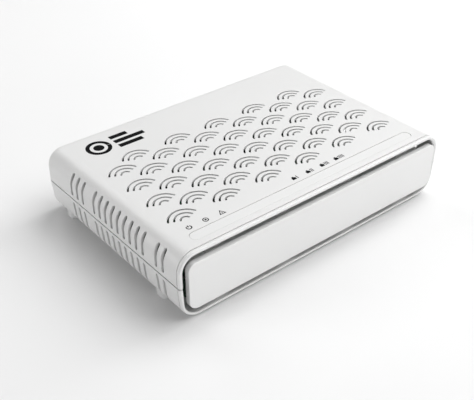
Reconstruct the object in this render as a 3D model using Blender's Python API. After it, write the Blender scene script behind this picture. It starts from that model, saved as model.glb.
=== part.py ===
"""Desktop optical network terminal, built as separate named pieces.

Units are metres.  +Z is up, -Y is the front with the plain panel and +Y is the back with the ports.
The origin is the centre of the whole terminal, on the surface it stands on.
"""
from math import cos, pi, radians, sin

import bmesh
import bpy
from mathutils import Matrix

MM = 0.001
GAP = 0.3 * MM                      # air left between pieces that touch

# Casing, outside
HALF_WIDTH = 81.6 * MM              # at the parting line
HALF_WIDTH_LOW = 80.9 * MM          # where the bottom corner starts
FRONT_Y = -58.0 * MM                # front panel's face
LIP_Y = -56.7 * MM                  # front rim of the two shells
REAR_Y = 55.5 * MM                  # outside of the back wall
BACK_LIMIT_Y = 58.0 * MM            # back of the power button and of the dust cap
TOP_Z = 35.0 * MM
PARTING_Z = 18.8 * MM
BASE_Z = 0.7 * MM                   # underside, above the feet
TOP_RADIUS = 8.8 * MM
BOTTOM_RADIUS = 9.7 * MM
REAR_RADIUS = 4.0 * MM
WALL = 1.4 * MM
LIP_MOUTH = 1.0 * MM                # thickness of the rim at the very front
UPPER_LIP_WALL = 1.8 * MM           # thickness of the top half's rim, as far back as the panel
LIP_INNER_EDGE = 0.6 * MM
LIP_STEP = (1.6 * MM, 2.1 * MM)     # from the rim to where its wall thins to the casing's
LIP_EDGE = 0.8 * MM                 # rounding of the front rim
LIP_DEPTH = 2.4 * MM                # from the rim to where the lap joint starts
GROOVE_Y = -54.85 * MM
GROOVE_WIDTH = 0.5 * MM
GROOVE_DEPTH = 0.5 * MM
GROOVE_SLOPE = 0.1 * MM
CORNER_STEPS = 5
REAR_STEPS = 4
TONGUE_HEIGHT = 1.3 * MM
TONGUE_INSET = 0.9 * MM
RABBET_INSET = 0.6 * MM

# Vents
SIDE_SLOT_PITCH = 5.0 * MM
SIDE_SLOT_WIDTH = 1.8 * MM
SIDE_SLOT_FIRST_Y = -44.4 * MM
SIDE_SLOT_COUNT = 16
SIDE_SLOT_SKIPPED = (2, 12)
UPPER_SLOT_Z = (21.0 * MM, 32.4 * MM)
LOWER_SLOT_Z = (5.2 * MM, 16.7 * MM)
SLOT_REACH = 9.0 * MM               # from the widest point inward
WAVE_PITCH = 25.0 * MM
WAVE_ROW_STEP = 7.82 * MM
WAVE_LAST_ROW_Y = 18.7 * MM
WAVE_ROWS = 8
WAVE_RADII = (2.4 * MM, 5.2 * MM, 7.9 * MM)
WAVE_SEGMENTS = (2, 3, 3)
WAVE_HALF_ANGLE = radians(67)
WAVE_SLOT = 1.0 * MM
FLOOR_SLOT_SIZE = (2.0 * MM, 16.0 * MM)
FLOOR_SLOT_PITCH = 5.0 * MM
FLOOR_SLOTS_PER_GROUP = 5
FLOOR_SLOT_GROUP_X = 52.0 * MM
FLOOR_SLOT_Y = 2.0 * MM

# Feet, moulded on the bottom shell
FOOT_X = 75.1 * MM
FOOT_YS = (-35.5 * MM, 43.2 * MM)
FOOT_SIZE = (7.0 * MM, 8.0 * MM)
FOOT_CORNER = 3.0 * MM
FOOT_TOP_Z = 5.0 * MM               # inside the wall, cut flush with it
FOOT_CHAMFER = 0.3 * MM

# Front panel
PANEL_HALF_WIDTH = 77.8 * MM
PANEL_Z = (5.85 * MM, 30.45 * MM)
PANEL_CORNER = 5.0 * MM
PANEL_EDGE = 0.6 * MM
PANEL_PLATE = 2.0 * MM
PANEL_RIM = 2.5 * MM                # thickness of the plate where it stands out past the skirt
PANEL_SKIRT_INSET = 3.1 * MM         # at the top and bottom
PANEL_SKIRT_END_INSET = 6.0 * MM     # at the two ends
PANEL_SKIRT_WALL = 1.6 * MM
PANEL_BACK_Y = -49.9 * MM
PANEL_TAB_DEPTH = 1.5 * MM
PANEL_LOW_TAB_Y = -53.6 * MM        # in front of the circuit board
PANEL_TAB_XS = (-60.0 * MM, -20.0 * MM, 20.0 * MM, 60.0 * MM)
PANEL_TAB_HALF = 4.0 * MM

# Light strip
STRIP_HALF_LENGTH = 69.2 * MM
STRIP_RADIUS = 3.15 * MM
STRIP_Y = -47.8 * MM
STRIP_POCKET = 0.9 * MM
STRIP_RECESS = 0.1 * MM
STRIP_THICKNESS = 0.5 * MM
LED_XS = {
    "led_power": -64.95 * MM,
    "led_pon": -56.05 * MM,
    "led_los": -47.35 * MM,
    "led_lan_1": -2.65 * MM,
    "led_lan_2": 6.35 * MM,
    "led_lan_3": 15.55 * MM,
    "led_lan_4": 24.85 * MM,
}
LED_SIZE = (3.0 * MM, 1.8 * MM, 1.4 * MM)
PIPE_RADIUS = 1.5 * MM
PIPE_HOLE_RADIUS = 1.8 * MM

# Circuit board
BOARD_HALF_WIDTH = 75.0 * MM
BOARD_Y = (-51.5 * MM, 53.3 * MM)
BOARD_Z = 7.0 * MM
BOARD_THICKNESS = 1.6 * MM
DECK_Z = BOARD_Z + BOARD_THICKNESS + GAP     # where the components stand
BOARD_SCREWS = ((-68.0, 26.0), (68.0, 26.0), (-68.0, -22.0), (68.0, -22.0))
CASE_SCREWS = ((-65.5, 34.0), (65.5, 34.0), (-64.0, -41.8), (64.0, -41.8))
CASE_BOSS_RADIUS = 3.75 * MM
CASE_CUP_RADIUS = 5.0 * MM
CASE_CUP_TOP_Z = 6.6 * MM
CASE_BORE_RADIUS = 3.3 * MM
CASE_BORE_TOP_Z = 5.0 * MM
CASE_PILOT_RADIUS = 1.8 * MM
CASE_PILOT_TOP_Z = 17.0 * MM
BOARD_BOSS_RADIUS = 3.2 * MM
BOARD_PILOT_RADIUS = 1.6 * MM
BOARD_PILOT_Z = 3.5 * MM

# Ports on the back
PORT_FACE_Y = 55.2 * MM
LAN_PITCH = 17.6 * MM
LAN_XS = tuple(-34.0 * MM + k * LAN_PITCH for k in range(4))
LAN_SIZE = (16.0 * MM, 16.0 * MM, 13.0 * MM)
LAN_CAVITY = (11.9 * MM, 13.5 * MM, 6.8 * MM)
LAN_CAVITY_Z = 4.2 * MM
LAN_KEYWAYS = (                     # half width, depth, bottom and top of the latch steps
    (3.1 * MM, 10.0 * MM, 2.7 * MM, 5.2 * MM),
    (1.7 * MM, 8.0 * MM, 1.5 * MM, 3.4 * MM),
)
LAN_INSERT_DEPTH = 2.2 * MM
LAN_PINS = 8
LAN_PIN_PITCH = 1.02 * MM
FIBRE_X = -54.0 * MM
FIBRE_SIZE = (12.6 * MM, 19.0 * MM, 10.0 * MM)
FIBRE_CAVITY = (9.4 * MM, 14.0 * MM, 7.5 * MM)
FIBRE_KEY_HALF = 1.3 * MM
FIBRE_KEY_RISE = 0.7 * MM
SLEEVE_RADIUS = 2.2 * MM
SLEEVE_BORE_RADIUS = 1.25 * MM
SLEEVE_Y = (-17.0 * MM, -7.5 * MM)  # behind the port's face
SHIELD_SIZE = (11.2 * MM, 15.4 * MM, 12.4 * MM)
SHIELD_SHEET = 0.5 * MM
CAP_FLANGE_HALF = (6.9 * MM, 5.6 * MM)
CAP_GRIP_HALF = (4.2 * MM, 1.0 * MM)
INLET_X = 43.0 * MM
INLET_SIZE = (9.0 * MM, 14.0 * MM, 11.0 * MM)
INLET_BARREL_Z = 6.5 * MM
INLET_BARREL_RADIUS = 3.15 * MM
INLET_BARREL_DEPTH = 9.5 * MM
INLET_PIN_RADIUS = 1.0 * MM
BUTTON_X = 56.0 * MM
BUTTON_Z = 13.4 * MM
BUTTON_SIDE = 7.6 * MM
BUTTON_FLANGE_SIDE = 9.0 * MM
BUTTON_LENGTH = 9.0 * MM
BUTTON_STEM_HALF = 1.5 * MM
SWITCH_FACE_Y = 46.0 * MM
SWITCH_HALF = 4.4 * MM
RESET_X = 31.5 * MM
RESET_Z = 11.9 * MM
RESET_HOLE_RADIUS = 1.2 * MM
RESET_FACE_Y = 49.5 * MM
RESET_HALF = 3.0 * MM
PLUNGER_RADIUS = 1.5 * MM

# Rating label, left blank
LABEL_SIZE = (64.0 * MM, 40.0 * MM)
LABEL_Y = -6.0 * MM
LABEL_RECESS = 0.5 * MM


# ---------------------------------------------------------------- helpers

def clear_scene():
    for old in list(bpy.data.objects):
        bpy.data.objects.remove(old, do_unlink=True)


def material(name, colour, roughness, metallic=0.0):
    made = bpy.data.materials.new(name)
    made.use_nodes = True
    shader = made.node_tree.nodes["Principled BSDF"]
    shader.inputs["Base Color"].default_value = (*colour, 1.0)
    shader.inputs["Roughness"].default_value = roughness
    shader.inputs["Metallic"].default_value = metallic
    made.diffuse_color = (*colour, 1.0)
    return made


def add_box(mesh, low, high):
    centre = [(a + b) / 2 for a, b in zip(low, high)]
    size = [b - a for a, b in zip(low, high)]
    place = Matrix.Translation(centre) @ Matrix.Diagonal((*size, 1.0))
    bmesh.ops.create_cube(mesh, size=1.0, matrix=place)


def add_loft(mesh, rings):
    """Join rings of points, all of one length, into a closed solid with flat ends."""
    loops = [[mesh.verts.new(point) for point in ring] for ring in rings]
    count = len(loops[0])
    for here, there in zip(loops, loops[1:]):
        for k in range(count):
            nxt = (k + 1) % count
            mesh.faces.new((here[k], here[nxt], there[nxt], there[k]))
    mesh.faces.new(list(reversed(loops[0])))
    mesh.faces.new(loops[-1])


def add_cylinder(mesh, base, radius, length, axis="Z", steps=24):
    """A cylinder that starts at base and runs along +axis."""
    rings = []
    for along in (0.0, length):
        ring = []
        for k in range(steps):
            turn = 2 * pi * k / steps
            across, up = radius * cos(turn), radius * sin(turn)
            if axis == "Z":
                ring.append((base[0] + across, base[1] + up, base[2] + along))
            else:
                ring.append((base[0] + across, base[1] + along, base[2] + up))
        rings.append(ring)
    add_loft(mesh, rings)


def add_turned(mesh, base, profile, axis="Z", steps=20):
    """Turn (radius, height) points, none of them on the axis, into a solid."""
    rings = []
    for radius, height in profile:
        ring = []
        for k in range(steps):
            turn = 2 * pi * k / steps
            across, up = radius * cos(turn), radius * sin(turn)
            if axis == "Z":
                ring.append((base[0] + across, base[1] + up, base[2] + height))
            else:
                ring.append((base[0] + across, base[1] + height, base[2] + up))
        rings.append(ring)
    add_loft(mesh, rings)


def rounded_rectangle(half_x, half_y, radius, steps=4):
    """Corner arcs of a rounded rectangle about the origin, anticlockwise."""
    points = []
    for corner in range(4):
        centre_x = (half_x - radius) * (1 if corner in (0, 3) else -1)
        centre_y = (half_y - radius) * (1 if corner in (0, 1) else -1)
        for k in range(steps + 1):
            turn = pi / 2 * (corner + k / steps)
            points.append((centre_x + radius * cos(turn), centre_y + radius * sin(turn)))
    return points


def plate(mesh, centre, outline, low_z, high_z):
    rings = [[(centre[0] + x, centre[1] + y, z) for x, y in outline] for z in (low_z, high_z)]
    add_loft(mesh, rings)


def finish(name, mesh, paint, location=(0, 0, 0), smooth=False):
    bmesh.ops.recalc_face_normals(mesh, faces=mesh.faces)
    data = bpy.data.meshes.new(name)
    mesh.to_mesh(data)
    mesh.free()
    if smooth:
        data.shade_smooth()
        data.set_sharp_from_angle(angle=radians(35))
    made = bpy.data.objects.new(name, data)
    bpy.context.scene.collection.objects.link(made)
    made.location = location
    if paint is not None:
        data.materials.append(paint)
    return made


def tool(name, mesh):
    """A helper solid that only cuts or joins; it is not a piece of the terminal."""
    made = finish(name, mesh, None)
    made.hide_render = True
    made.display_type = "WIRE"
    return made


def apply_tool(target, helper, operation="DIFFERENCE"):
    step = target.modifiers.new(helper.name, "BOOLEAN")
    step.object = helper
    step.operation = operation
    step.solver = "EXACT"


def box_piece(name, paint, low, high, location=(0, 0, 0), edge=0.0):
    mesh = bmesh.new()
    add_box(mesh, low, high)
    if edge > 0:
        bmesh.ops.bevel(mesh, geom=list(mesh.edges), offset=edge, segments=1, affect="EDGES")
    return finish(name, mesh, paint, location)


# ---------------------------------------------------------------- casing outline

def corner_arc(centre_x, centre_z, radius, start, end):
    turns = [start + (end - start) * k / CORNER_STEPS for k in range(CORNER_STEPS + 1)]
    return [(centre_x + radius * cos(t), centre_z + radius * sin(t)) for t in turns]


def upper_outline(inset, cut_z):
    """Cross-section of the casing above cut_z, moved inward by inset."""
    radius = TOP_RADIUS - inset
    arc_x = HALF_WIDTH - TOP_RADIUS
    arc_z = TOP_Z - TOP_RADIUS
    right = corner_arc(arc_x, arc_z, radius, 0, pi / 2)
    left = corner_arc(-arc_x, arc_z, radius, pi / 2, pi)
    return [(HALF_WIDTH - inset, cut_z), *right, *left, (inset - HALF_WIDTH, cut_z)]


def lower_outline(inset, cut_z):
    """Cross-section of the casing below cut_z, moved inward by inset."""
    radius = max(BOTTOM_RADIUS - inset, 0.3 * MM)
    arc_x = HALF_WIDTH_LOW - inset - radius
    arc_z = BASE_Z + inset + radius
    left = corner_arc(-arc_x, arc_z, radius, pi, 1.5 * pi)
    right = corner_arc(arc_x, arc_z, radius, 1.5 * pi, 2 * pi)
    return [(inset - HALF_WIDTH, cut_z), *left, *right, (HALF_WIDTH - inset, cut_z)]


def band_outline(inset, low_z, high_z):
    half = HALF_WIDTH - inset
    return [(half, low_z), (half, high_z), (-half, high_z), (-half, low_z)]


def rear_stations(inset):
    """Places along Y, with the inset there, round the rear edge."""
    radius = REAR_RADIUS - inset
    start = REAR_Y - REAR_RADIUS
    turns = [pi / 2 * k / REAR_STEPS for k in range(REAR_STEPS + 1)]
    return [(start + radius * sin(t), inset + radius * (1 - cos(t))) for t in turns]


def outer_stations():
    rim = [
        (LIP_Y, LIP_EDGE),
        (LIP_Y + 0.3 * LIP_EDGE, 0.3 * LIP_EDGE),
        (LIP_Y + LIP_EDGE, 0.0),
    ]
    groove_end = GROOVE_Y + GROOVE_WIDTH
    groove = [
        (GROOVE_Y, 0.0),
        (GROOVE_Y + GROOVE_SLOPE, GROOVE_DEPTH),
        (groove_end - GROOVE_SLOPE, GROOVE_DEPTH),
        (groove_end, 0.0),
    ]
    return rim + groove + rear_stations(0.0)


def cavity_stations(lip_wall):
    mouth = [
        (FRONT_Y - 2 * MM, LIP_MOUTH),
        (LIP_Y, LIP_MOUTH),
        (LIP_Y + LIP_INNER_EDGE, lip_wall),
        (LIP_Y + LIP_STEP[0], lip_wall),
        (LIP_Y + LIP_STEP[1], WALL),
    ]
    return mouth + rear_stations(WALL)


def casing_loft(mesh, stations, outline):
    add_loft(mesh, [[(x, y, z) for x, z in outline(inset)] for y, inset in stations])


# ---------------------------------------------------------------- vents

def side_slot_ys():
    for k in range(SIDE_SLOT_COUNT):
        if k not in SIDE_SLOT_SKIPPED:
            yield SIDE_SLOT_FIRST_Y + k * SIDE_SLOT_PITCH


def side_slot_tool(name, z_range):
    mesh = bmesh.new()
    half = SIDE_SLOT_WIDTH / 2
    for side in (-1, 1):
        ends = sorted((side * (HALF_WIDTH - SLOT_REACH), side * (HALF_WIDTH + 2 * MM)))
        for y in side_slot_ys():
            add_box(mesh, (ends[0], y - half, z_range[0]), (ends[1], y + half, z_range[1]))
    return tool(name, mesh)


def wave_places():
    """Centres of the wave marks: rows of five and six in turn, from the back to the front."""
    for row in range(WAVE_ROWS):
        count = 5 + row % 2
        y = WAVE_LAST_ROW_Y - row * WAVE_ROW_STEP
        for k in range(count):
            yield (k - (count - 1) / 2) * WAVE_PITCH, y


def add_wave_slot(mesh, centre, radius, segments):
    """One curved slot through the top, open towards the front."""
    low_z, high_z = TOP_Z - 3 * WALL, TOP_Z + WALL
    outline = []
    for offset, order in ((WAVE_SLOT / 2, 1), (-WAVE_SLOT / 2, -1)):
        turns = [WAVE_HALF_ANGLE * (2 * k / segments - 1) for k in range(segments + 1)]
        for turn in turns[::order]:
            reach = radius + offset
            outline.append((reach * sin(turn), reach * cos(turn)))
    plate(mesh, centre, outline, low_z, high_z)


def wave_tool():
    mesh = bmesh.new()
    for centre in wave_places():
        for radius, segments in zip(WAVE_RADII, WAVE_SEGMENTS):
            add_wave_slot(mesh, centre, radius, segments)
    return tool("cut_wave_vents", mesh)


def floor_vent_tool():
    mesh = bmesh.new()
    half_x, half_y = FLOOR_SLOT_SIZE[0] / 2, FLOOR_SLOT_SIZE[1] / 2
    for side in (-1, 1):
        for k in range(FLOOR_SLOTS_PER_GROUP):
            x = side * FLOOR_SLOT_GROUP_X + (k - (FLOOR_SLOTS_PER_GROUP - 1) / 2) * FLOOR_SLOT_PITCH
            low = (x - half_x, FLOOR_SLOT_Y - half_y, BASE_Z - WALL)
            high = (x + half_x, FLOOR_SLOT_Y + half_y, BASE_Z + 2 * WALL)
            add_box(mesh, low, high)
    return tool("cut_floor_vents", mesh)


# ---------------------------------------------------------------- shells

def port_tool():
    """Openings in the back wall, shared by the two shells."""
    mesh = bmesh.new()
    inner, outer = REAR_Y - 2 * WALL, REAR_Y + WALL
    faces = [(x, LAN_SIZE) for x in LAN_XS] + [(FIBRE_X, FIBRE_SIZE), (INLET_X, INLET_SIZE)]
    for x, size in faces:
        half = size[0] / 2 + GAP
        top = DECK_Z + size[2] + GAP
        add_box(mesh, (x - half, inner, DECK_Z - GAP), (x + half, outer, top))
    reach = BUTTON_SIDE / 2 + GAP
    low = (BUTTON_X - reach, inner, BUTTON_Z - reach)
    add_box(mesh, low, (BUTTON_X + reach, outer, BUTTON_Z + reach))
    add_cylinder(mesh, (RESET_X, inner, RESET_Z), RESET_HOLE_RADIUS, outer - inner, "Y", 16)
    return tool("cut_ports", mesh)


def make_top_shell(paint, ports):
    mesh = bmesh.new()
    cut = PARTING_Z + GAP / 2
    casing_loft(mesh, outer_stations(), lambda inset: upper_outline(inset, cut))
    shell = finish("top_shell", mesh, paint, smooth=True)

    hollow = bmesh.new()
    below = PARTING_Z - 5 * MM
    casing_loft(hollow, cavity_stations(UPPER_LIP_WALL), lambda inset: upper_outline(inset, below))
    apply_tool(shell, tool("cut_top_hollow", hollow))

    rabbet = bmesh.new()
    stations = [(LIP_Y + LIP_DEPTH, RABBET_INSET)] + rear_stations(RABBET_INSET)
    high = PARTING_Z + TONGUE_HEIGHT + GAP
    casing_loft(rabbet, stations, lambda inset: band_outline(inset, below, high))
    apply_tool(shell, tool("cut_top_rabbet", rabbet))

    bosses = bmesh.new()
    bottom = CASE_CUP_TOP_Z + GAP
    for x, y in CASE_SCREWS:
        base = (x * MM, y * MM, bottom)
        add_cylinder(bosses, base, CASE_BOSS_RADIUS, TOP_Z - WALL / 2 - bottom, steps=16)
    apply_tool(shell, tool("join_top_bosses", bosses), "UNION")

    holes = bmesh.new()
    for x, y in CASE_SCREWS:
        depth = CASE_PILOT_TOP_Z - bottom + WALL
        add_cylinder(holes, (x * MM, y * MM, bottom - WALL), CASE_PILOT_RADIUS, depth, steps=12)
    for x in LED_XS.values():
        base = (x, STRIP_Y, TOP_Z - 3 * WALL)
        add_cylinder(holes, base, PIPE_HOLE_RADIUS, 3 * WALL - STRIP_POCKET / 2, steps=12)
    apply_tool(shell, tool("cut_top_holes", holes))

    strip = bmesh.new()
    outline = rounded_rectangle(STRIP_HALF_LENGTH, STRIP_RADIUS, STRIP_RADIUS, 6)
    plate(strip, (0, STRIP_Y), outline, TOP_Z - STRIP_POCKET, TOP_Z + WALL)
    apply_tool(shell, tool("cut_strip_pocket", strip))

    apply_tool(shell, wave_tool())
    apply_tool(shell, side_slot_tool("cut_upper_side_slots", UPPER_SLOT_Z))
    apply_tool(shell, ports)


def add_foot(mesh, x, y):
    rings = []
    for z, inset in ((0.0, FOOT_CHAMFER), (FOOT_CHAMFER, 0.0), (FOOT_TOP_Z, 0.0)):
        outline = rounded_rectangle(FOOT_SIZE[0] / 2 - inset, FOOT_SIZE[1] / 2 - inset,
                                    FOOT_CORNER - inset, 2)
        rings.append([(x + px, y + py, z) for px, py in outline])
    add_loft(mesh, rings)


def make_bottom_shell(paint, ports):
    mesh = bmesh.new()
    cut = PARTING_Z - GAP / 2
    casing_loft(mesh, outer_stations(), lambda inset: lower_outline(inset, cut))
    shell = finish("bottom_shell", mesh, paint, smooth=True)

    tongue = bmesh.new()
    stations = [(LIP_Y + LIP_DEPTH + GAP, TONGUE_INSET)] + rear_stations(TONGUE_INSET)
    low, high = PARTING_Z - 3 * MM, PARTING_Z + TONGUE_HEIGHT
    casing_loft(tongue, stations, lambda inset: band_outline(inset, low, high))
    apply_tool(shell, tool("join_tongue", tongue), "UNION")

    feet = bmesh.new()
    for side in (-1, 1):
        for y in FOOT_YS:
            add_foot(feet, side * FOOT_X, y)
    apply_tool(shell, tool("join_feet", feet), "UNION")

    hollow = bmesh.new()
    above = PARTING_Z + 5 * MM
    casing_loft(hollow, cavity_stations(WALL), lambda inset: lower_outline(inset, above))
    apply_tool(shell, tool("cut_bottom_hollow", hollow))

    added = bmesh.new()
    for x, y in CASE_SCREWS:
        base = (x * MM, y * MM, BASE_Z + WALL / 2)
        add_cylinder(added, base, CASE_CUP_RADIUS, CASE_CUP_TOP_Z - base[2], steps=16)
    for x, y in BOARD_SCREWS:
        base = (x * MM, y * MM, BASE_Z + WALL / 2)
        add_cylinder(added, base, BOARD_BOSS_RADIUS, BOARD_Z - GAP - base[2], steps=12)
    apply_tool(shell, tool("join_floor_bosses", added), "UNION")

    holes = bmesh.new()
    for x, y in CASE_SCREWS:
        add_turned(holes, (x * MM, y * MM, 0.0), (
            (CASE_BORE_RADIUS, BASE_Z - WALL),
            (CASE_BORE_RADIUS, CASE_BORE_TOP_Z),
            (CASE_PILOT_RADIUS, CASE_BORE_TOP_Z),
            (CASE_PILOT_RADIUS, CASE_CUP_TOP_Z + WALL),
        ), steps=16)
    for x, y in BOARD_SCREWS:
        add_cylinder(holes, (x * MM, y * MM, BOARD_PILOT_Z), BOARD_PILOT_RADIUS, BOARD_Z, steps=10)
    half_x, half_y = LABEL_SIZE[0] / 2 + GAP, LABEL_SIZE[1] / 2 + GAP
    low = (-half_x, LABEL_Y - half_y, BASE_Z - WALL)
    add_box(holes, low, (half_x, LABEL_Y + half_y, BASE_Z + LABEL_RECESS))
    apply_tool(shell, tool("cut_floor_holes", holes))

    apply_tool(shell, floor_vent_tool())
    apply_tool(shell, side_slot_tool("cut_lower_side_slots", LOWER_SLOT_Z))
    apply_tool(shell, ports)


# ---------------------------------------------------------------- front and lights

def upright_ring(half_x, half_z, corner, y):
    """A rounded rectangle in the plane of the front panel."""
    middle = (PANEL_Z[1] + PANEL_Z[0]) / 2
    return [(x, y, middle + z) for x, z in rounded_rectangle(half_x, half_z, corner, 4)]


def panel_ring(inset, y):
    half_z = (PANEL_Z[1] - PANEL_Z[0]) / 2
    return upright_ring(PANEL_HALF_WIDTH - inset, half_z - inset, PANEL_CORNER - inset, y)


def skirt_ring(inset, y):
    half_x = PANEL_HALF_WIDTH - PANEL_SKIRT_END_INSET
    half_z = (PANEL_Z[1] - PANEL_Z[0]) / 2 - PANEL_SKIRT_INSET
    corner = PANEL_CORNER - PANEL_SKIRT_INSET
    return upright_ring(half_x - inset, half_z - inset, corner - inset, y)


def make_front_panel(paint):
    """A plate with a rounded edge, a skirt set in behind it and tabs that catch behind the rim."""
    mesh = bmesh.new()
    rings = [
        panel_ring(PANEL_EDGE, FRONT_Y),
        panel_ring(0.3 * PANEL_EDGE, FRONT_Y + 0.3 * PANEL_EDGE),
        panel_ring(0.0, FRONT_Y + PANEL_EDGE),
        panel_ring(0.0, FRONT_Y + PANEL_RIM),
        skirt_ring(0.0, FRONT_Y + PANEL_RIM),
        skirt_ring(0.0, PANEL_BACK_Y),
    ]
    add_loft(mesh, rings)
    panel = finish("front_panel", mesh, paint, smooth=True)

    hollow = bmesh.new()
    ends = (FRONT_Y + PANEL_PLATE, PANEL_BACK_Y + WALL)
    add_loft(hollow, [skirt_ring(PANEL_SKIRT_WALL, y) for y in ends])
    apply_tool(panel, tool("cut_panel_hollow", hollow))

    tabs = bmesh.new()
    root = PANEL_SKIRT_INSET + PANEL_SKIRT_WALL / 2
    high_y = PANEL_BACK_Y - PANEL_TAB_DEPTH
    for x in PANEL_TAB_XS:
        left, right = x - PANEL_TAB_HALF, x + PANEL_TAB_HALF
        add_box(tabs, (left, high_y, PANEL_Z[1] - root), (right, PANEL_BACK_Y, TOP_Z - WALL - GAP))
        add_box(tabs, (left, PANEL_LOW_TAB_Y, BASE_Z + WALL + GAP),
                (right, PANEL_LOW_TAB_Y + PANEL_TAB_DEPTH, PANEL_Z[0] + root))
    apply_tool(panel, tool("join_panel_tabs", tabs), "UNION")


def make_led_window(paint):
    mesh = bmesh.new()
    outline = rounded_rectangle(STRIP_HALF_LENGTH - GAP, STRIP_RADIUS - GAP, STRIP_RADIUS - GAP, 6)
    top = TOP_Z - STRIP_RECESS
    plate(mesh, (0, 0), outline, -STRIP_THICKNESS, 0)
    finish("led_window", mesh, paint, (0, STRIP_Y, top), smooth=True)


def make_light_guide(paint):
    """A clear comb: one rail with a pipe from each lamp up to the window."""
    mesh = bmesh.new()
    xs = list(LED_XS.values())
    rail_z = TOP_Z - 5.4 * MM
    rail_half, overhang = 1.8 * MM, 2.5 * MM
    low = (min(xs) - overhang, -rail_half, rail_z)
    add_box(mesh, low, (max(xs) + overhang, rail_half, rail_z + 2.2 * MM))
    comb = finish("light_guide", mesh, paint, (0, STRIP_Y, 0), smooth=True)
    pipes = bmesh.new()
    low = DECK_Z + LED_SIZE[2] + GAP
    high = TOP_Z - STRIP_RECESS - STRIP_THICKNESS - GAP
    for x in xs:
        add_cylinder(pipes, (x, STRIP_Y, low), PIPE_RADIUS, high - low, steps=8)
    apply_tool(comb, tool("join_light_pipes", pipes), "UNION")


def make_leds(paint):
    half_x, half_y = LED_SIZE[0] / 2, LED_SIZE[1] / 2
    for name, x in LED_XS.items():
        low, high = (-half_x, -half_y, 0), (half_x, half_y, LED_SIZE[2])
        box_piece(name, paint, low, high, (x, STRIP_Y, DECK_Z), 0.25 * MM)


# ---------------------------------------------------------------- ports and controls

def make_lan_jacks(paint, contact_paint):
    width, depth, height = LAN_SIZE
    cavity_width, cavity_depth, cavity_height = LAN_CAVITY
    for number, x in enumerate(LAN_XS, start=1):
        place = (x, PORT_FACE_Y, DECK_Z)
        low, high = (-width / 2, -depth, 0), (width / 2, 0, height)
        jack = box_piece(f"lan_jack_{number}", paint, low, high, place)
        mouth_size = (cavity_width / 2, cavity_depth, LAN_CAVITY_Z, LAN_CAVITY_Z + cavity_height)
        for step, (half, reach, bottom, top) in enumerate((mouth_size, *LAN_KEYWAYS)):
            mouth = bmesh.new()
            add_box(mouth, (x - half, PORT_FACE_Y - reach, DECK_Z + bottom),
                    (x + half, PORT_FACE_Y + WALL, DECK_Z + top))
            apply_tool(jack, tool(f"cut_lan_mouth_{number}_{step}", mouth))
        make_lan_contacts(number, place, contact_paint)


def make_lan_contacts(number, place, paint):
    """The insert at the bottom of a jack, with its row of sloping spring wires."""
    cavity_width, cavity_depth, cavity_height = LAN_CAVITY
    face_y = -cavity_depth + GAP + LAN_INSERT_DEPTH
    low = (-cavity_width / 2 + GAP, -cavity_depth + GAP, LAN_CAVITY_Z + GAP)
    high = (cavity_width / 2 - GAP, face_y, LAN_CAVITY_Z + cavity_height - GAP)
    insert = box_piece(f"lan_contacts_{number}", paint, low, high, place)
    wires = bmesh.new()
    half, thick = 0.2 * MM, 0.3 * MM
    root_z, tip_z = LAN_CAVITY_Z + 4.7 * MM, LAN_CAVITY_Z + 6.1 * MM
    for k in range(LAN_PINS):
        x = place[0] + (k - (LAN_PINS - 1) / 2) * LAN_PIN_PITCH
        rings = []
        for y, z in ((face_y - 1 * MM, root_z - 0.2 * MM), (-4 * MM, tip_z)):
            base_y, base_z = place[1] + y, place[2] + z
            corners = ((-half, 0), (half, 0), (half, thick), (-half, thick))
            rings.append([(x + dx, base_y, base_z + dz) for dx, dz in corners])
        add_loft(wires, rings)
    apply_tool(insert, tool(f"join_lan_wires_{number}", wires), "UNION")


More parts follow.
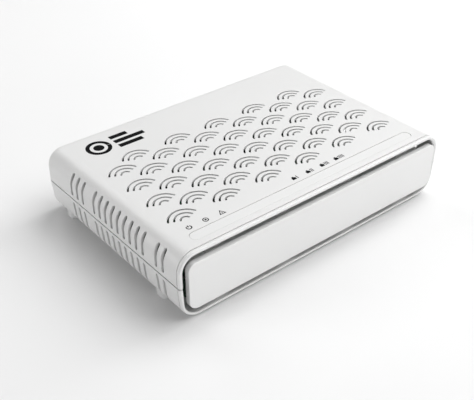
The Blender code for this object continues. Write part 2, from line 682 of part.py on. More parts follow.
def make_fibre_port(green, white, steel, cap_paint):
    width, depth, height = FIBRE_SIZE
    cavity_width, cavity_depth, cavity_height = FIBRE_CAVITY
    middle = height / 2
    place = (FIBRE_X, PORT_FACE_Y, DECK_Z)
    low, high = (-width / 2, -depth, 0), (width / 2, 0, height)
    port = box_piece("fibre_port", green, low, high, place)

    mouth = bmesh.new()
    low = (FIBRE_X - cavity_width / 2, PORT_FACE_Y - cavity_depth, DECK_Z + middle - cavity_height / 2)
    high = (FIBRE_X + cavity_width / 2, PORT_FACE_Y + WALL, DECK_Z + middle + cavity_height / 2)
    add_box(mouth, low, high)
    apply_tool(port, tool("cut_fibre_mouth", mouth))
    key = bmesh.new()
    add_box(key, (FIBRE_X - FIBRE_KEY_HALF, low[1], high[2] - FIBRE_KEY_RISE),
            (FIBRE_X + FIBRE_KEY_HALF, high[1], high[2] + FIBRE_KEY_RISE))
    apply_tool(port, tool("cut_fibre_key", key))
    bore = bmesh.new()
    bore_start = (FIBRE_X, PORT_FACE_Y - depth - WALL, DECK_Z + middle)
    bore_length = depth - cavity_depth + 2 * WALL
    axis_z = DECK_Z + middle
    add_cylinder(bore, bore_start, SLEEVE_RADIUS + GAP, bore_length, "Y", 20)
    apply_tool(port, tool("cut_fibre_bore", bore))

    sleeve = bmesh.new()
    add_cylinder(sleeve, (0, SLEEVE_Y[0], 0), SLEEVE_RADIUS, SLEEVE_Y[1] - SLEEVE_Y[0], "Y", 20)
    tube = finish("fibre_sleeve", sleeve, white, (FIBRE_X, PORT_FACE_Y, axis_z), smooth=True)
    hole = bmesh.new()
    hole_start = (FIBRE_X, PORT_FACE_Y - depth - WALL, axis_z)
    add_cylinder(hole, hole_start, SLEEVE_BORE_RADIUS, depth + 2 * WALL + SLEEVE_Y[1], "Y", 16)
    apply_tool(tube, tool("cut_fibre_sleeve", hole))

    module = bmesh.new()
    add_turned(module, (0, 0, 0), (
        (2.9 * MM, -33.0 * MM),
        (3.4 * MM, -32.5 * MM),
        (3.4 * MM, -27.0 * MM),
        (2.6 * MM, -27.0 * MM),
        (2.6 * MM, -23.0 * MM),
        (3.6 * MM, -23.0 * MM),
        (3.6 * MM, -depth - GAP),
    ), "Y", 14)
    finish("optical_module", module, steel, (FIBRE_X, PORT_FACE_Y, axis_z), smooth=True)

    make_optical_shield(steel)
    make_dust_cap(cap_paint, middle)


def make_optical_shield(steel):
    """A folded can over the optical module, open below and towards the port."""
    width, depth, height = SHIELD_SIZE
    half = width / 2
    high_y = PORT_FACE_Y - FIBRE_SIZE[1] - 2 * GAP
    low_y = high_y - depth
    place = (FIBRE_X, 0, DECK_Z)
    can = box_piece("optical_shield", steel, (-half, low_y, 0), (half, high_y, height), place)
    inside = bmesh.new()
    add_box(inside, (FIBRE_X - half + SHIELD_SHEET, low_y + SHIELD_SHEET, DECK_Z - WALL),
            (FIBRE_X + half - SHIELD_SHEET, high_y + WALL, DECK_Z + height - SHIELD_SHEET))
    apply_tool(can, tool("cut_optical_shield", inside))


def make_dust_cap(paint, middle):
    """A soft plug that covers the fibre port and pulls straight out along +Y."""
    face_y = REAR_Y + GAP
    spigot_half = (FIBRE_CAVITY[0] / 2 - GAP, FIBRE_CAVITY[2] / 2 - GAP)
    axis_z = DECK_Z + middle
    cap = bmesh.new()
    rim = rounded_rectangle(*CAP_FLANGE_HALF, 1.2 * MM, 3)
    tip = BACK_LIMIT_Y - face_y
    rings = []
    for y, scale in ((0.0, 1.0), (0.8 * MM, 1.0), (1.1 * MM, 0.95)):
        rings.append([(x * scale, y, z * scale) for x, z in rim])
    add_loft(cap, rings)
    made = finish("dust_cap", cap, paint, (FIBRE_X, face_y, axis_z), smooth=True)
    spigot = bmesh.new()
    add_box(spigot, (FIBRE_X - spigot_half[0], PORT_FACE_Y - 2 * MM, axis_z - spigot_half[1]),
            (FIBRE_X + spigot_half[0], face_y + 0.5 * MM, axis_z + spigot_half[1]))
    apply_tool(made, tool("join_cap_spigot", spigot), "UNION")
    grip = bmesh.new()
    add_box(grip, (FIBRE_X - CAP_GRIP_HALF[0], face_y + 0.5 * MM, axis_z - CAP_GRIP_HALF[1]),
            (FIBRE_X + CAP_GRIP_HALF[0], face_y + tip, axis_z + CAP_GRIP_HALF[1]))
    apply_tool(made, tool("join_cap_grip", grip), "UNION")


def make_power_inlet(black, steel):
    width, depth, height = INLET_SIZE
    place = (INLET_X, PORT_FACE_Y, DECK_Z)
    low, high = (-width / 2, -depth, 0), (width / 2, 0, height)
    inlet = box_piece("power_inlet", black, low, high, place)
    axis_z = DECK_Z + INLET_BARREL_Z
    bore = bmesh.new()
    add_turned(bore, (INLET_X, PORT_FACE_Y, axis_z), (
        (INLET_PIN_RADIUS + GAP, -13.2 * MM),
        (INLET_PIN_RADIUS + GAP, -INLET_BARREL_DEPTH),
        (INLET_BARREL_RADIUS, -INLET_BARREL_DEPTH),
        (INLET_BARREL_RADIUS, WALL),
    ), "Y", 24)
    apply_tool(inlet, tool("cut_inlet_barrel", bore))
    pin = bmesh.new()
    add_turned(pin, (0, 0, 0), (
        (INLET_PIN_RADIUS, -12.9 * MM),
        (INLET_PIN_RADIUS, -1.5 * MM),
        (0.6 * INLET_PIN_RADIUS, -1.0 * MM),
    ), "Y", 12)
    finish("power_inlet_pin", pin, steel, (INLET_X, PORT_FACE_Y, axis_z), smooth=True)


def make_power_switch(grey, white):
    """A latching push switch on the board and the button that works it along -Y."""
    body = box_piece("power_switch", grey, (-SWITCH_HALF, -12 * MM, DECK_Z),
                     (SWITCH_HALF, 0, BUTTON_Z + SWITCH_HALF), (BUTTON_X, SWITCH_FACE_Y, 0))
    hole = bmesh.new()
    reach = BUTTON_STEM_HALF + GAP
    add_box(hole, (BUTTON_X - reach, SWITCH_FACE_Y - 6.5 * MM, BUTTON_Z - reach),
            (BUTTON_X + reach, SWITCH_FACE_Y + WALL, BUTTON_Z + reach))
    apply_tool(body, tool("cut_switch_well", hole))

    half = BUTTON_SIDE / 2
    cap = bmesh.new()
    rings = []
    for y, inset in ((-BUTTON_LENGTH, 0.0), (-0.5 * MM, 0.0), (0.0, 0.5 * MM)):
        outline = rounded_rectangle(half - inset, half - inset, 0.9 * MM - inset, 2)
        rings.append([(x, y, z) for x, z in outline])
    add_loft(cap, rings)
    button = finish("power_button", cap, white, (BUTTON_X, BACK_LIMIT_Y, BUTTON_Z), smooth=True)
    rest = bmesh.new()
    flange_half = BUTTON_FLANGE_SIDE / 2
    flange_y = REAR_Y - WALL - GAP
    add_box(rest, (BUTTON_X - flange_half, flange_y - 1.2 * MM, BUTTON_Z - flange_half),
            (BUTTON_X + flange_half, flange_y, BUTTON_Z + flange_half))
    apply_tool(button, tool("join_button_flange", rest), "UNION")
    stem = bmesh.new()
    add_box(stem, (BUTTON_X - BUTTON_STEM_HALF, SWITCH_FACE_Y - 4 * MM, BUTTON_Z - BUTTON_STEM_HALF),
            (BUTTON_X + BUTTON_STEM_HALF, BACK_LIMIT_Y - BUTTON_LENGTH + 1 * MM,
             BUTTON_Z + BUTTON_STEM_HALF))
    apply_tool(button, tool("join_button_stem", stem), "UNION")


def make_reset_switch(black, white):
    """A small key switch behind a pinhole; its plunger moves along -Y."""
    body = box_piece("reset_switch", black, (-RESET_HALF, -4 * MM, DECK_Z),
                     (RESET_HALF, 0, RESET_Z + RESET_HALF), (RESET_X, RESET_FACE_Y, 0))
    well = bmesh.new()
    well_start = (RESET_X, RESET_FACE_Y - 2.5 * MM, RESET_Z)
    add_cylinder(well, well_start, PLUNGER_RADIUS + GAP, 5 * MM, "Y", 16)
    apply_tool(body, tool("cut_reset_well", well))
    plunger = bmesh.new()
    add_turned(plunger, (0, 0, 0), (
        (PLUNGER_RADIUS, -1.6 * MM),
        (PLUNGER_RADIUS, 2.6 * MM),
        (0.8 * PLUNGER_RADIUS, 2.9 * MM),
    ), "Y", 16)
    finish("reset_plunger", plunger, white, (RESET_X, RESET_FACE_Y, RESET_Z), smooth=True)


# ---------------------------------------------------------------- board and components

def make_board(paint):
    middle_y = (BOARD_Y[0] + BOARD_Y[1]) / 2
    half_y = (BOARD_Y[1] - BOARD_Y[0]) / 2
    mesh = bmesh.new()
    outline = rounded_rectangle(BOARD_HALF_WIDTH, half_y, 3 * MM, 3)
    plate(mesh, (0, 0), outline, 0, BOARD_THICKNESS)
    board = finish("main_board", mesh, paint, (0, middle_y, BOARD_Z))
    holes = bmesh.new()
    for places, radius in ((CASE_SCREWS, 4.5 * MM), (BOARD_SCREWS, BOARD_PILOT_RADIUS)):
        for x, y in places:
            add_cylinder(holes, (x * MM, y * MM, BOARD_Z - WALL), radius, 4 * WALL, steps=12)
    apply_tool(board, tool("cut_board_holes", holes))


def make_heat_sink(paint):
    half, base, fin, count = 17.5 * MM, 2.0 * MM, 1.2 * MM, 8
    height = 8.4 * MM
    low_z = DECK_Z + 1.4 * MM + GAP + 0.6 * MM + GAP
    place = (-4 * MM, -8 * MM, low_z)
    sink = box_piece("heat_sink", paint, (-half, -half, 0), (half, half, height), place)
    pitch = (2 * half - fin) / (count - 1)
    for k in range(count - 1):
        groove = bmesh.new()
        left = place[0] - half + fin + k * pitch
        add_box(groove, (left, place[1] - 2 * half, low_z + base),
                (left + pitch - fin, place[1] + 2 * half, low_z + 2 * height))
        apply_tool(sink, tool(f"cut_heat_sink_{k}", groove))


def make_components(black, pad_paint, steel, aluminium, dark_green):
    def chip(name, paint, x, y, size, low=0.0, edge=0.2):
        """A block centred on x, y (in millimetres) that stands low above the board."""
        half_x, half_y = size[0] / 2 * MM, size[1] / 2 * MM
        place = (x * MM, y * MM, DECK_Z + low * MM)
        box_piece(name, paint, (-half_x, -half_y, 0), (half_x, half_y, size[2] * MM), place, edge * MM)

    chip("processor", black, -4, -8, (21, 21, 1.4))
    chip("thermal_pad", pad_paint, -4, -8, (20, 20, 0.6), 1.7, 0.1)
    chip("memory_chip", black, 30, -10, (13.5, 8.2, 1.2))
    chip("flash_chip", black, 30, 6, (8.2, 6.4, 1.6))
    chip("line_transformer_1", black, -25.2, 28, (24, 10, 6.2))
    chip("line_transformer_2", black, 10, 28, (24, 10, 6.2))
    chip("crystal", steel, -28, -6, (4.6, 10.6, 3.4), 0, 0.8)
    chip("inductor", dark_green, 42, 28, (10, 10, 5), 0, 0.8)
    for number, (x, y) in enumerate(((56, 24), (52, 8), (62, 8)), start=1):
        can = bmesh.new()
        radius, height = 4.0 * MM, 11.5 * MM
        add_turned(can, (0, 0, 0), (
            (radius, 0.0),
            (radius, 1.6 * MM),
            (0.9 * radius, 2.0 * MM),
            (radius, 2.4 * MM),
            (radius, height - 0.4 * MM),
            (radius - 0.4 * MM, height),
        ), steps=12)
        finish(f"capacitor_{number}", can, aluminium, (x * MM, y * MM, DECK_Z), smooth=True)


def make_screws(steel):
    """Self-tapping screws: four from below close the casing, four hold the board."""
    for number, (x, y) in enumerate(CASE_SCREWS, start=1):
        head = bmesh.new()
        head_top = CASE_BORE_TOP_Z - GAP
        add_turned(head, (0, 0, head_top), (
            (2.3 * MM, -1.8 * MM),
            (2.8 * MM, -1.4 * MM),
            (2.8 * MM, 0.0),
            (1.5 * MM, 0.0),
            (1.5 * MM, 10.5 * MM),
            (0.7 * MM, 11.5 * MM),
        ), steps=12)
        screw = finish(f"case_screw_{number}", head, steel, (x * MM, y * MM, 0), smooth=True)
        cut_cross(screw, number, x, y, head_top - 2.8 * MM, head_top - 0.9 * MM)
    for number, (x, y) in enumerate(BOARD_SCREWS, start=1):
        head = bmesh.new()
        add_turned(head, (0, 0, DECK_Z), (
            (0.7 * MM, 3.9 * MM - DECK_Z),
            (1.25 * MM, 4.4 * MM - DECK_Z),
            (1.25 * MM, 0.0),
            (2.6 * MM, 0.0),
            (2.6 * MM, 1.0 * MM),
            (2.0 * MM, 1.6 * MM),
        ), steps=12)
        finish(f"board_screw_{number}", head, steel, (x * MM, y * MM, 0), smooth=True)


def cut_cross(screw, number, x, y, low_z, high_z):
    """A cross recess between two heights."""
    long, narrow = 1.4 * MM, 0.35 * MM
    for half_x, half_y in ((long, narrow), (narrow, long)):
        slot = bmesh.new()
        add_box(slot, (x * MM - half_x, y * MM - half_y, low_z), (x * MM + half_x, y * MM + half_y, high_z))
        apply_tool(screw, tool(f"cut_cross_{number}_{'x' if half_x > half_y else 'y'}", slot))


def make_label(paint):
    half_x, half_y = LABEL_SIZE[0] / 2, LABEL_SIZE[1] / 2
    outline = rounded_rectangle(half_x, half_y, 1.5 * MM, 3)
    mesh = bmesh.new()
    plate(mesh, (0, 0), outline, -0.2 * MM, 0)
    finish("rating_label", mesh, paint, (0, LABEL_Y, BASE_Z + LABEL_RECESS - GAP))


def main():
    clear_scene()
    white = material("white_shell", (0.80, 0.80, 0.79), 0.42)
    panel_white = material("white_panel", (0.84, 0.84, 0.83), 0.30)
    window = material("window_film", (0.78, 0.78, 0.77), 0.25)
    clear = material("clear_guide", (0.86, 0.88, 0.90), 0.15)
    board_green = material("board_green", (0.03, 0.20, 0.09), 0.45)
    black = material("black_plastic", (0.03, 0.03, 0.032), 0.45)
    grey = material("grey_plastic", (0.35, 0.36, 0.37), 0.50)
    button_white = material("button_white", (0.75, 0.75, 0.74), 0.40)
    port_green = material("port_green", (0.05, 0.42, 0.14), 0.40)
    ceramic = material("sleeve_ceramic", (0.88, 0.88, 0.86), 0.20)
    contact_gold = material("contact_gold", (0.80, 0.60, 0.24), 0.25, 1.0)
    steel = material("plated_steel", (0.62, 0.63, 0.64), 0.30, 1.0)
    aluminium = material("aluminium", (0.74, 0.75, 0.76), 0.38, 1.0)
    lamp = material("lamp_resin", (0.85, 0.86, 0.80), 0.30)
    pad_grey = material("pad_grey", (0.55, 0.60, 0.66), 0.80)
    cap_paint = material("soft_cap", (0.10, 0.10, 0.11), 0.65)
    dark_core = material("ferrite", (0.08, 0.08, 0.085), 0.60)
    paper = material("label_paper", (0.86, 0.86, 0.84), 0.55)

    ports = port_tool()
    make_top_shell(white, ports)
    make_bottom_shell(white, ports)
    make_front_panel(panel_white)
    make_led_window(window)
    make_light_guide(clear)
    make_leds(lamp)
    make_lan_jacks(black, contact_gold)
    make_fibre_port(port_green, ceramic, steel, cap_paint)
    make_power_inlet(black, steel)
    make_power_switch(grey, button_white)
    make_reset_switch(black, button_white)
    make_board(board_green)
    make_heat_sink(aluminium)
    make_components(black, pad_grey, steel, aluminium, dark_core)
    make_screws(steel)
    make_label(paper)


main()
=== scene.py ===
"""Looks of the desktop optical network terminal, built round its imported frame.

Units are metres, in the frame's own axes: -Y is the front, +Y the back with the ports, +Z up.
"""
from math import cos, hypot, pi, radians, sin, sqrt

import bmesh
import bpy
from mathutils import Matrix, Vector


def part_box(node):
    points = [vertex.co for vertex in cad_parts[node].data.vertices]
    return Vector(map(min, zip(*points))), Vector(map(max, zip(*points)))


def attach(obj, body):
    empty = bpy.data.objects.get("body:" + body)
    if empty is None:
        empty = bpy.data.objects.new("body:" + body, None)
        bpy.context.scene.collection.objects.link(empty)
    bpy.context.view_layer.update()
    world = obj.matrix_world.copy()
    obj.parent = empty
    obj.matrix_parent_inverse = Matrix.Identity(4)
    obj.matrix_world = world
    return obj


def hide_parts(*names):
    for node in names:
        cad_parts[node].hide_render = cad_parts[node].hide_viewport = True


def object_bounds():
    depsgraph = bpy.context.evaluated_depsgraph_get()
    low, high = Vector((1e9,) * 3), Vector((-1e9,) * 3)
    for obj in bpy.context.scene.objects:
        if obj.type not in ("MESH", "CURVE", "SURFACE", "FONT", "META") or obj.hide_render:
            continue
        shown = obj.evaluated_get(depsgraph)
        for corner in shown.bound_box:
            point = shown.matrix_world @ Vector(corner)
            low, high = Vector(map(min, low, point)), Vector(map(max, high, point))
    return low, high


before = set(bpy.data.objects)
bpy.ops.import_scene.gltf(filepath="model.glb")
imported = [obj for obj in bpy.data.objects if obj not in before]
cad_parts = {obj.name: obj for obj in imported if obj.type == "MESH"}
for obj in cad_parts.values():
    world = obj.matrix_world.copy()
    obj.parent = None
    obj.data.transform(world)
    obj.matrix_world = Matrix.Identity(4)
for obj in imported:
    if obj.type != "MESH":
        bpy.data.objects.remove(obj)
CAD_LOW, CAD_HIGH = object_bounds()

MM = 0.001
CASING = "casing"
SHARP_ANGLE = radians(32)

# Casing, read from the frame
SHELL_LOW, SHELL_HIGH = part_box("top_shell")
PANEL_LOW, PANEL_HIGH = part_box("front_panel")
STRIP_LOW, STRIP_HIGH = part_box("led_window")
HALF_WIDTH = SHELL_HIGH[0]
LIP_Y = SHELL_LOW[1]
REAR_Y = SHELL_HIGH[1]
TOP_Z = SHELL_HIGH[2]
FRONT_Y = PANEL_LOW[1]
STRIP_Y = (STRIP_LOW[1] + STRIP_HIGH[1]) / 2
STRIP_HALF = ((STRIP_HIGH[0] - STRIP_LOW[0]) / 2, (STRIP_HIGH[1] - STRIP_LOW[1]) / 2)

# Casing, fixed by its design
HALF_WIDTH_LOW = HALF_WIDTH - 0.7 * MM
PARTING_Z = 18.8 * MM
PARTING_GAP = 0.3 * MM
BASE_Z = 0.7 * MM
TOP_RADIUS = 8.8 * MM
BOTTOM_RADIUS = 9.7 * MM
REAR_RADIUS = 4.0 * MM
WALL = 1.4 * MM
LIP_MOUTH = 0.8 * MM                # where the outer and inner roundings of the front rim meet
LIP_EDGE = 0.8 * MM
UPPER_LIP_WALL = 2.1 * MM
LIP_STEP = (1.6 * MM, 2.1 * MM)     # from the rim to where its wall thins to the casing's
LIP_DEPTH = 2.4 * MM
GROOVE_Y = LIP_Y + 1.85 * MM
GROOVE_WIDTH = 0.5 * MM
GROOVE_DEPTH = 0.6 * MM
GROOVE_SLOPE = 0.05 * MM
PARTING_NOTCH = (0.8 * MM, 0.22 * MM)    # depth and rise of the shadow line between the shells
CORNER_STEPS = 14
REAR_STEPS = 8
RIM_STEPS = 5

# Vents
SLOT_PITCH = 5.0 * MM
SLOT_WIDTH = 1.8 * MM
SLOT_FIRST_Y = -44.4 * MM
SLOT_NUMBERS = [k for k in range(16) if k not in (2, 12)]
UPPER_SLOT_Z = (21.0 * MM, 32.4 * MM)
LOWER_SLOT_Z = (5.2 * MM, 16.7 * MM)
SLOT_REACH = 9.0 * MM
SLOT_FLARE = 0.15 * MM
WAVE_PITCH = 25.0 * MM
WAVE_ROW_STEP = 7.82 * MM
WAVE_LAST_ROW_Y = 18.7 * MM
WAVE_ROWS = 8
WAVE_RADII = (2.4 * MM, 5.2 * MM, 7.9 * MM)
WAVE_SEGMENTS = (8, 12, 16)
WAVE_HALF_ANGLE = radians(67)
WAVE_SLOT = 1.0 * MM
WAVE_FLARE = 0.1 * MM
FLOOR_SLOT_SIZE = (2.0 * MM, 16.0 * MM)
FLOOR_SLOT_PITCH = 5.0 * MM
FLOOR_SLOT_GROUP_X = 52.0 * MM
FLOOR_SLOT_Y = 2.0 * MM

# Feet, fasteners, label
FOOT_X = 75.1 * MM
FOOT_YS = (-35.5 * MM, 43.2 * MM)
FOOT_HALF = (3.5 * MM, 4.0 * MM)
FOOT_CORNER = 3.0 * MM
FOOT_TOP_Z = 5.0 * MM
FOOT_EDGE = 0.4 * MM
CASE_BOSS_RADIUS = 3.75 * MM
CASE_CUP_RADIUS = 5.0 * MM
CASE_CUP_TOP_Z = 6.6 * MM
CASE_BORE_RADIUS = 3.3 * MM
CASE_BORE_TOP_Z = 5.0 * MM
CASE_PILOT_RADIUS = 1.8 * MM
LABEL_RECESS = 0.5 * MM
LABEL_CORNER = 1.5 * MM
LABEL_PLAY = 0.3 * MM
TONGUE_WALL = 0.5 * MM
TONGUE_ROOT = 0.4 * MM              # how far the tongue sinks into the wall it stands on
TONGUE_HEIGHT = 1.3 * MM

# Front panel
PANEL_HALF_WIDTH = PANEL_HIGH[0]
PANEL_Z = (5.85 * MM, 30.45 * MM)
PANEL_CORNERS = (3.7 * MM, 5.0 * MM)    # upper, lower
PANEL_SKIRT_CORNER = 1.9 * MM
PANEL_EDGE = 0.35 * MM
PANEL_PLATE = 2.0 * MM
PANEL_RIM = 2.5 * MM
PANEL_SKIRT_INSET = 3.1 * MM
PANEL_SKIRT_END_INSET = 6.0 * MM
PANEL_SKIRT_WALL = 1.6 * MM
PANEL_TAB_DEPTH = 1.5 * MM
PANEL_LOW_TAB_Y = -53.6 * MM
PANEL_TAB_XS = (-60.0 * MM, -20.0 * MM, 20.0 * MM, 60.0 * MM)
PANEL_TAB_HALF = 4.0 * MM

# Light strip and controls
STRIP_PLAY = 0.12 * MM
STRIP_POCKET = 0.9 * MM
STRIP_EDGE = 0.12 * MM
PIPE_HOLE_RADIUS = 1.8 * MM
LAMPS = ("led_power", "led_pon", "led_los", "led_lan_1", "led_lan_2", "led_lan_3", "led_lan_4")
OPENING_PLAY = 0.3 * MM
BUTTON_SIDE = 7.6 * MM
BUTTON_LENGTH = 9.0 * MM
BUTTON_CORNER = 0.9 * MM
BUTTON_HOLE_CORNER = 1.1 * MM
BUTTON_EDGE = 0.6 * MM
BUTTON_DISH_RADIUS = 14.0 * MM
BUTTON_DISH_DEPTH = 0.3 * MM
BUTTON_COLLAR = (4.8 * MM, 1.2 * MM)     # half side, thickness
BUTTON_STEM_HALF = 1.5 * MM
RESET_Z = 11.9 * MM
RESET_HOLE_RADIUS = 1.2 * MM

# Ports
LAN_OPENINGS = (                    # half width, depth, bottom and top, in millimetres
    (5.95, 13.5, 4.2, 11.0),
    (3.1, 10.0, 2.7, 5.2),
    (1.7, 8.0, 1.5, 3.4),
)
LAN_BEVEL = 0.35 * MM
CONTACT_COUNT = 8
CONTACT_PITCH = 1.02 * MM
CONTACT_RADIUS = 0.2 * MM
FIBRE_OPENINGS = (                  # half width, depth, bottom and top, in millimetres
    (4.7, 14.0, -3.75, 3.75),
    (1.3, 14.0, 3.0, 4.45),
)
FIBRE_BEVEL = 0.3 * MM
FIBRE_BORE = (2.5 * MM, 11.0 * MM)       # radius, start behind the face
CAP_PLATE = 1.1 * MM
CAP_EDGES = (0.15 * MM, 0.4 * MM)        # rounding at the back wall and outside
CAP_CORNER = 1.2 * MM
CAP_SPIGOT_HALF = (4.4 * MM, 3.45 * MM)
CAP_GRIP = (4.2 * MM, 1.0 * MM, 0.35 * MM)    # half width, half height, waist
INLET_AXIS_Z = 6.5 * MM
INLET_BORE = (                      # radius, place from the face, in millimetres
    (1.3, -13.2), (1.3, -9.5), (3.15, -9.5), (3.15, -0.4), (3.75, 0.2), (3.75, 1.4),
)
PIN_RADIUS = 1.0 * MM
PIN_DOME = 0.8 * MM

# Screws
SCREW_HEAD_RADIUS = 2.8 * MM
SCREW_HEAD_HEIGHT = 1.8 * MM
SCREW_DOME = 0.8 * MM
SCREW_THREAD = (1.15 * MM, 1.5 * MM)     # root and crest
SCREW_THREAD_TURNS = 8
SCREW_CROSS = (1.5 * MM, 0.35 * MM, 1.1 * MM)    # half length, half width, depth

# Marks
PRINT_DEPTH = 0.12 * MM
PRINT_SINK = 0.01 * MM
PRINT_PLAY = 0.005 * MM
FULL_TURN = 2 * pi - 0.02           # a ring is one strip, open by a hair
HAIR = 0.01 * MM
TOP_MARK_BOX = (-66.4 * MM, -33.4 * MM, 33.0 * MM, 46.2 * MM)    # left, right, front, back
LAMP_MARK_SIZE = 2.8 * MM
LAMP_MARK_RISE = 6.4 * MM           # behind the light strip
PORT_MARK_SIZE = 2.6 * MM
PORT_MARK_RISE = 3.2 * MM           # above the network jacks

# Studio
CAMERA_PLACE = (-0.2257, -0.2687, 0.2395)
CAMERA_SIDE = (-39.467, 34.439)     # azimuth and elevation it looks from, in degrees
CAMERA_LENS = 61.66
FLOOR_REACH = 12.0
FLOOR_GLOW = 0.8                    # keeps the floor pale where the lamps no longer reach
FLOOR_GLOW_REACH = (0.45, 1.3)      # metres from the terminal
LIGHT_DISTANCE = 1.1


# ---- places from the frame

def middle(node):
    low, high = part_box(node)
    return [(a + b) / 2 for a, b in zip(low, high)]


def middle_x(node):
    return middle(node)[0]


def half_size(node):
    low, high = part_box(node)
    return [(b - a) / 2 for a, b in zip(low, high)]


def button_centre():
    x, _, z = middle("power_button")
    return x, z


def case_screw_places():
    return [middle(f"case_screw_{number}")[:2] for number in range(1, 5)]


# ---- mesh helpers

def new_object(name, mesh):
    bmesh.ops.recalc_face_normals(mesh, faces=mesh.faces)
    data = bpy.data.meshes.new(name)
    mesh.to_mesh(data)
    mesh.free()
    made = bpy.data.objects.new(name, data)
    bpy.context.scene.collection.objects.link(made)
    return made


def carve(target, mesh, operation="DIFFERENCE"):
    """Cut the helper mesh out of target, or join it on, and keep the result as target's mesh."""
    helper = new_object("helper", mesh)
    step = target.modifiers.new("carve", "BOOLEAN")
    step.object = helper
    step.operation = operation
    step.solver = "EXACT"
    bpy.context.view_layer.update()
    shown = target.evaluated_get(bpy.context.evaluated_depsgraph_get())
    data = bpy.data.meshes.new_from_object(shown)
    target.modifiers.remove(step)
    old = target.data
    target.data = data
    bpy.data.meshes.remove(old)
    bpy.data.objects.remove(helper, do_unlink=True)


def piece(made, paint, nodes=(), body=CASING):
    """Shade a finished mesh, give it its material, tie it to its CAD body and hide the CAD nodes it stands
    for.
    """
    made.data.shade_smooth()
    made.data.set_sharp_from_angle(angle=SHARP_ANGLE)
    made.data.materials.clear()
    paints = paint if isinstance(paint, (list, tuple)) else [paint]
    for one in paints:
        made.data.materials.append(one)
    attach(made, body)
    if nodes:
        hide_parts(*nodes)
    return made


def add_loft(mesh, rings, material_index=0):
    loops = [[mesh.verts.new(point) for point in ring] for ring in rings]
    count = len(loops[0])
    faces = []
    for here, there in zip(loops, loops[1:]):
        for k in range(count):
            nxt = (k + 1) % count
            faces.append(mesh.faces.new((here[k], here[nxt], there[nxt], there[k])))
    faces.append(mesh.faces.new(list(reversed(loops[0]))))
    faces.append(mesh.faces.new(loops[-1]))
    for face in faces:
        face.material_index = material_index


def add_box(mesh, low, high, edge=0.0, steps=2):
    """A block; edge rounds all of its edges."""
    centre = [(a + b) / 2 for a, b in zip(low, high)]
    size = [b - a for a, b in zip(low, high)]
    place = Matrix.Translation(centre) @ Matrix.Diagonal((*size, 1.0))
    made = bmesh.ops.create_cube(mesh, size=1.0, matrix=place)
    if edge > 0:
        edges = list({e for v in made["verts"] for e in v.link_edges})
        bmesh.ops.bevel(mesh, geom=edges, offset=edge, segments=steps, affect="EDGES", profile=0.5)


def circle(radius, steps):
    turns = [2 * pi * k / steps for k in range(steps)]
    return [(radius * cos(t), radius * sin(t)) for t in turns]


def arc(centre_x, centre_y, radius, start, end, steps=CORNER_STEPS):
    turns = [start + (end - start) * k / steps for k in range(steps + 1)]
    return [(centre_x + radius * cos(t), centre_y + radius * sin(t)) for t in turns]


def rounded_rectangle(half_x, half_y, radius, steps=8, centre=(0.0, 0.0)):
    points = []
    for corner in range(4):
        centre_x = centre[0] + (half_x - radius) * (1 if corner in (0, 3) else -1)
        centre_y = centre[1] + (half_y - radius) * (1 if corner in (0, 1) else -1)
        for k in range(steps + 1):
            turn = pi / 2 * (corner + k / steps)
            points.append((centre_x + radius * cos(turn), centre_y + radius * sin(turn)))
    return points


def along_z(outline, z, centre=(0.0, 0.0)):
    return [(centre[0] + x, centre[1] + y, z) for x, y in outline]


def along_y(outline, y, centre=(0.0, 0.0)):
    """An outline in X and Z at a place along Y."""
    return [(centre[0] + x, y, centre[1] + z) for x, z in outline]


def add_turned(mesh, centre, profile, axis="Z", steps=40):
    """A solid of revolution through (radius, place along the axis) points."""
    rings = []
    for radius, place in profile:
        ring = circle(radius, steps)
        if axis == "Z":
            rings.append(along_z(ring, centre[2] + place, centre[:2]))
        else:
            rings.append(along_y(ring, centre[1] + place, (centre[0], centre[2])))
    add_loft(mesh, rings)


def quarter(radius, steps):
    """(inset, rise) pairs along a quarter round, from the face to the side."""
    turns = [pi / 2 * k / steps for k in range(steps + 1)]
    return [(radius * (1 - sin(t)), radius * (1 - cos(t))) for t in turns]


# ---- casing outline

def upper_outline(inset, cut_z, notch=None):
    """Section of the upper half; notch (depth, rise) steps its edge back along the cut."""
    radius = TOP_RADIUS - inset
    arc_x = HALF_WIDTH - TOP_RADIUS
    arc_z = TOP_Z - TOP_RADIUS
    right = arc(arc_x, arc_z, radius, 0, pi / 2)
    left = arc(-arc_x, arc_z, radius, pi / 2, pi)
    half = HALF_WIDTH - inset
    start = [(half, cut_z)]
    if notch:
        depth, rise = notch
        start = [(half - depth, cut_z), (half - depth, cut_z + rise), (half, cut_z + rise)]
    end = [(-x, z) for x, z in reversed(start)]
    return [*start, *right, *left, *end]


def lower_outline(inset, cut_z, notch=None):
    """Section of the lower half; notch (depth, rise) steps its edge back along the cut."""
    radius = max(BOTTOM_RADIUS - inset, 0.3 * MM)
    arc_x = HALF_WIDTH_LOW - inset - radius
    arc_z = BASE_Z + inset + radius
    left = arc(-arc_x, arc_z, radius, pi, 1.5 * pi)
    right = arc(arc_x, arc_z, radius, 1.5 * pi, 2 * pi)
    half = HALF_WIDTH - inset
    end = [(half, cut_z)]
    if notch:
        depth, rise = notch
        end = [(half, cut_z - rise), (half - depth, cut_z - rise), (half - depth, cut_z)]
    start = [(-x, z) for x, z in reversed(end)]
    return [*start, *left, *right, *end]


def rear_stations(inset):
    radius = REAR_RADIUS - inset
    start = REAR_Y - REAR_RADIUS
    turns = [pi / 2 * k / REAR_STEPS for k in range(REAR_STEPS + 1)]
    return [(start + radius * sin(t), inset + radius * (1 - cos(t))) for t in turns]


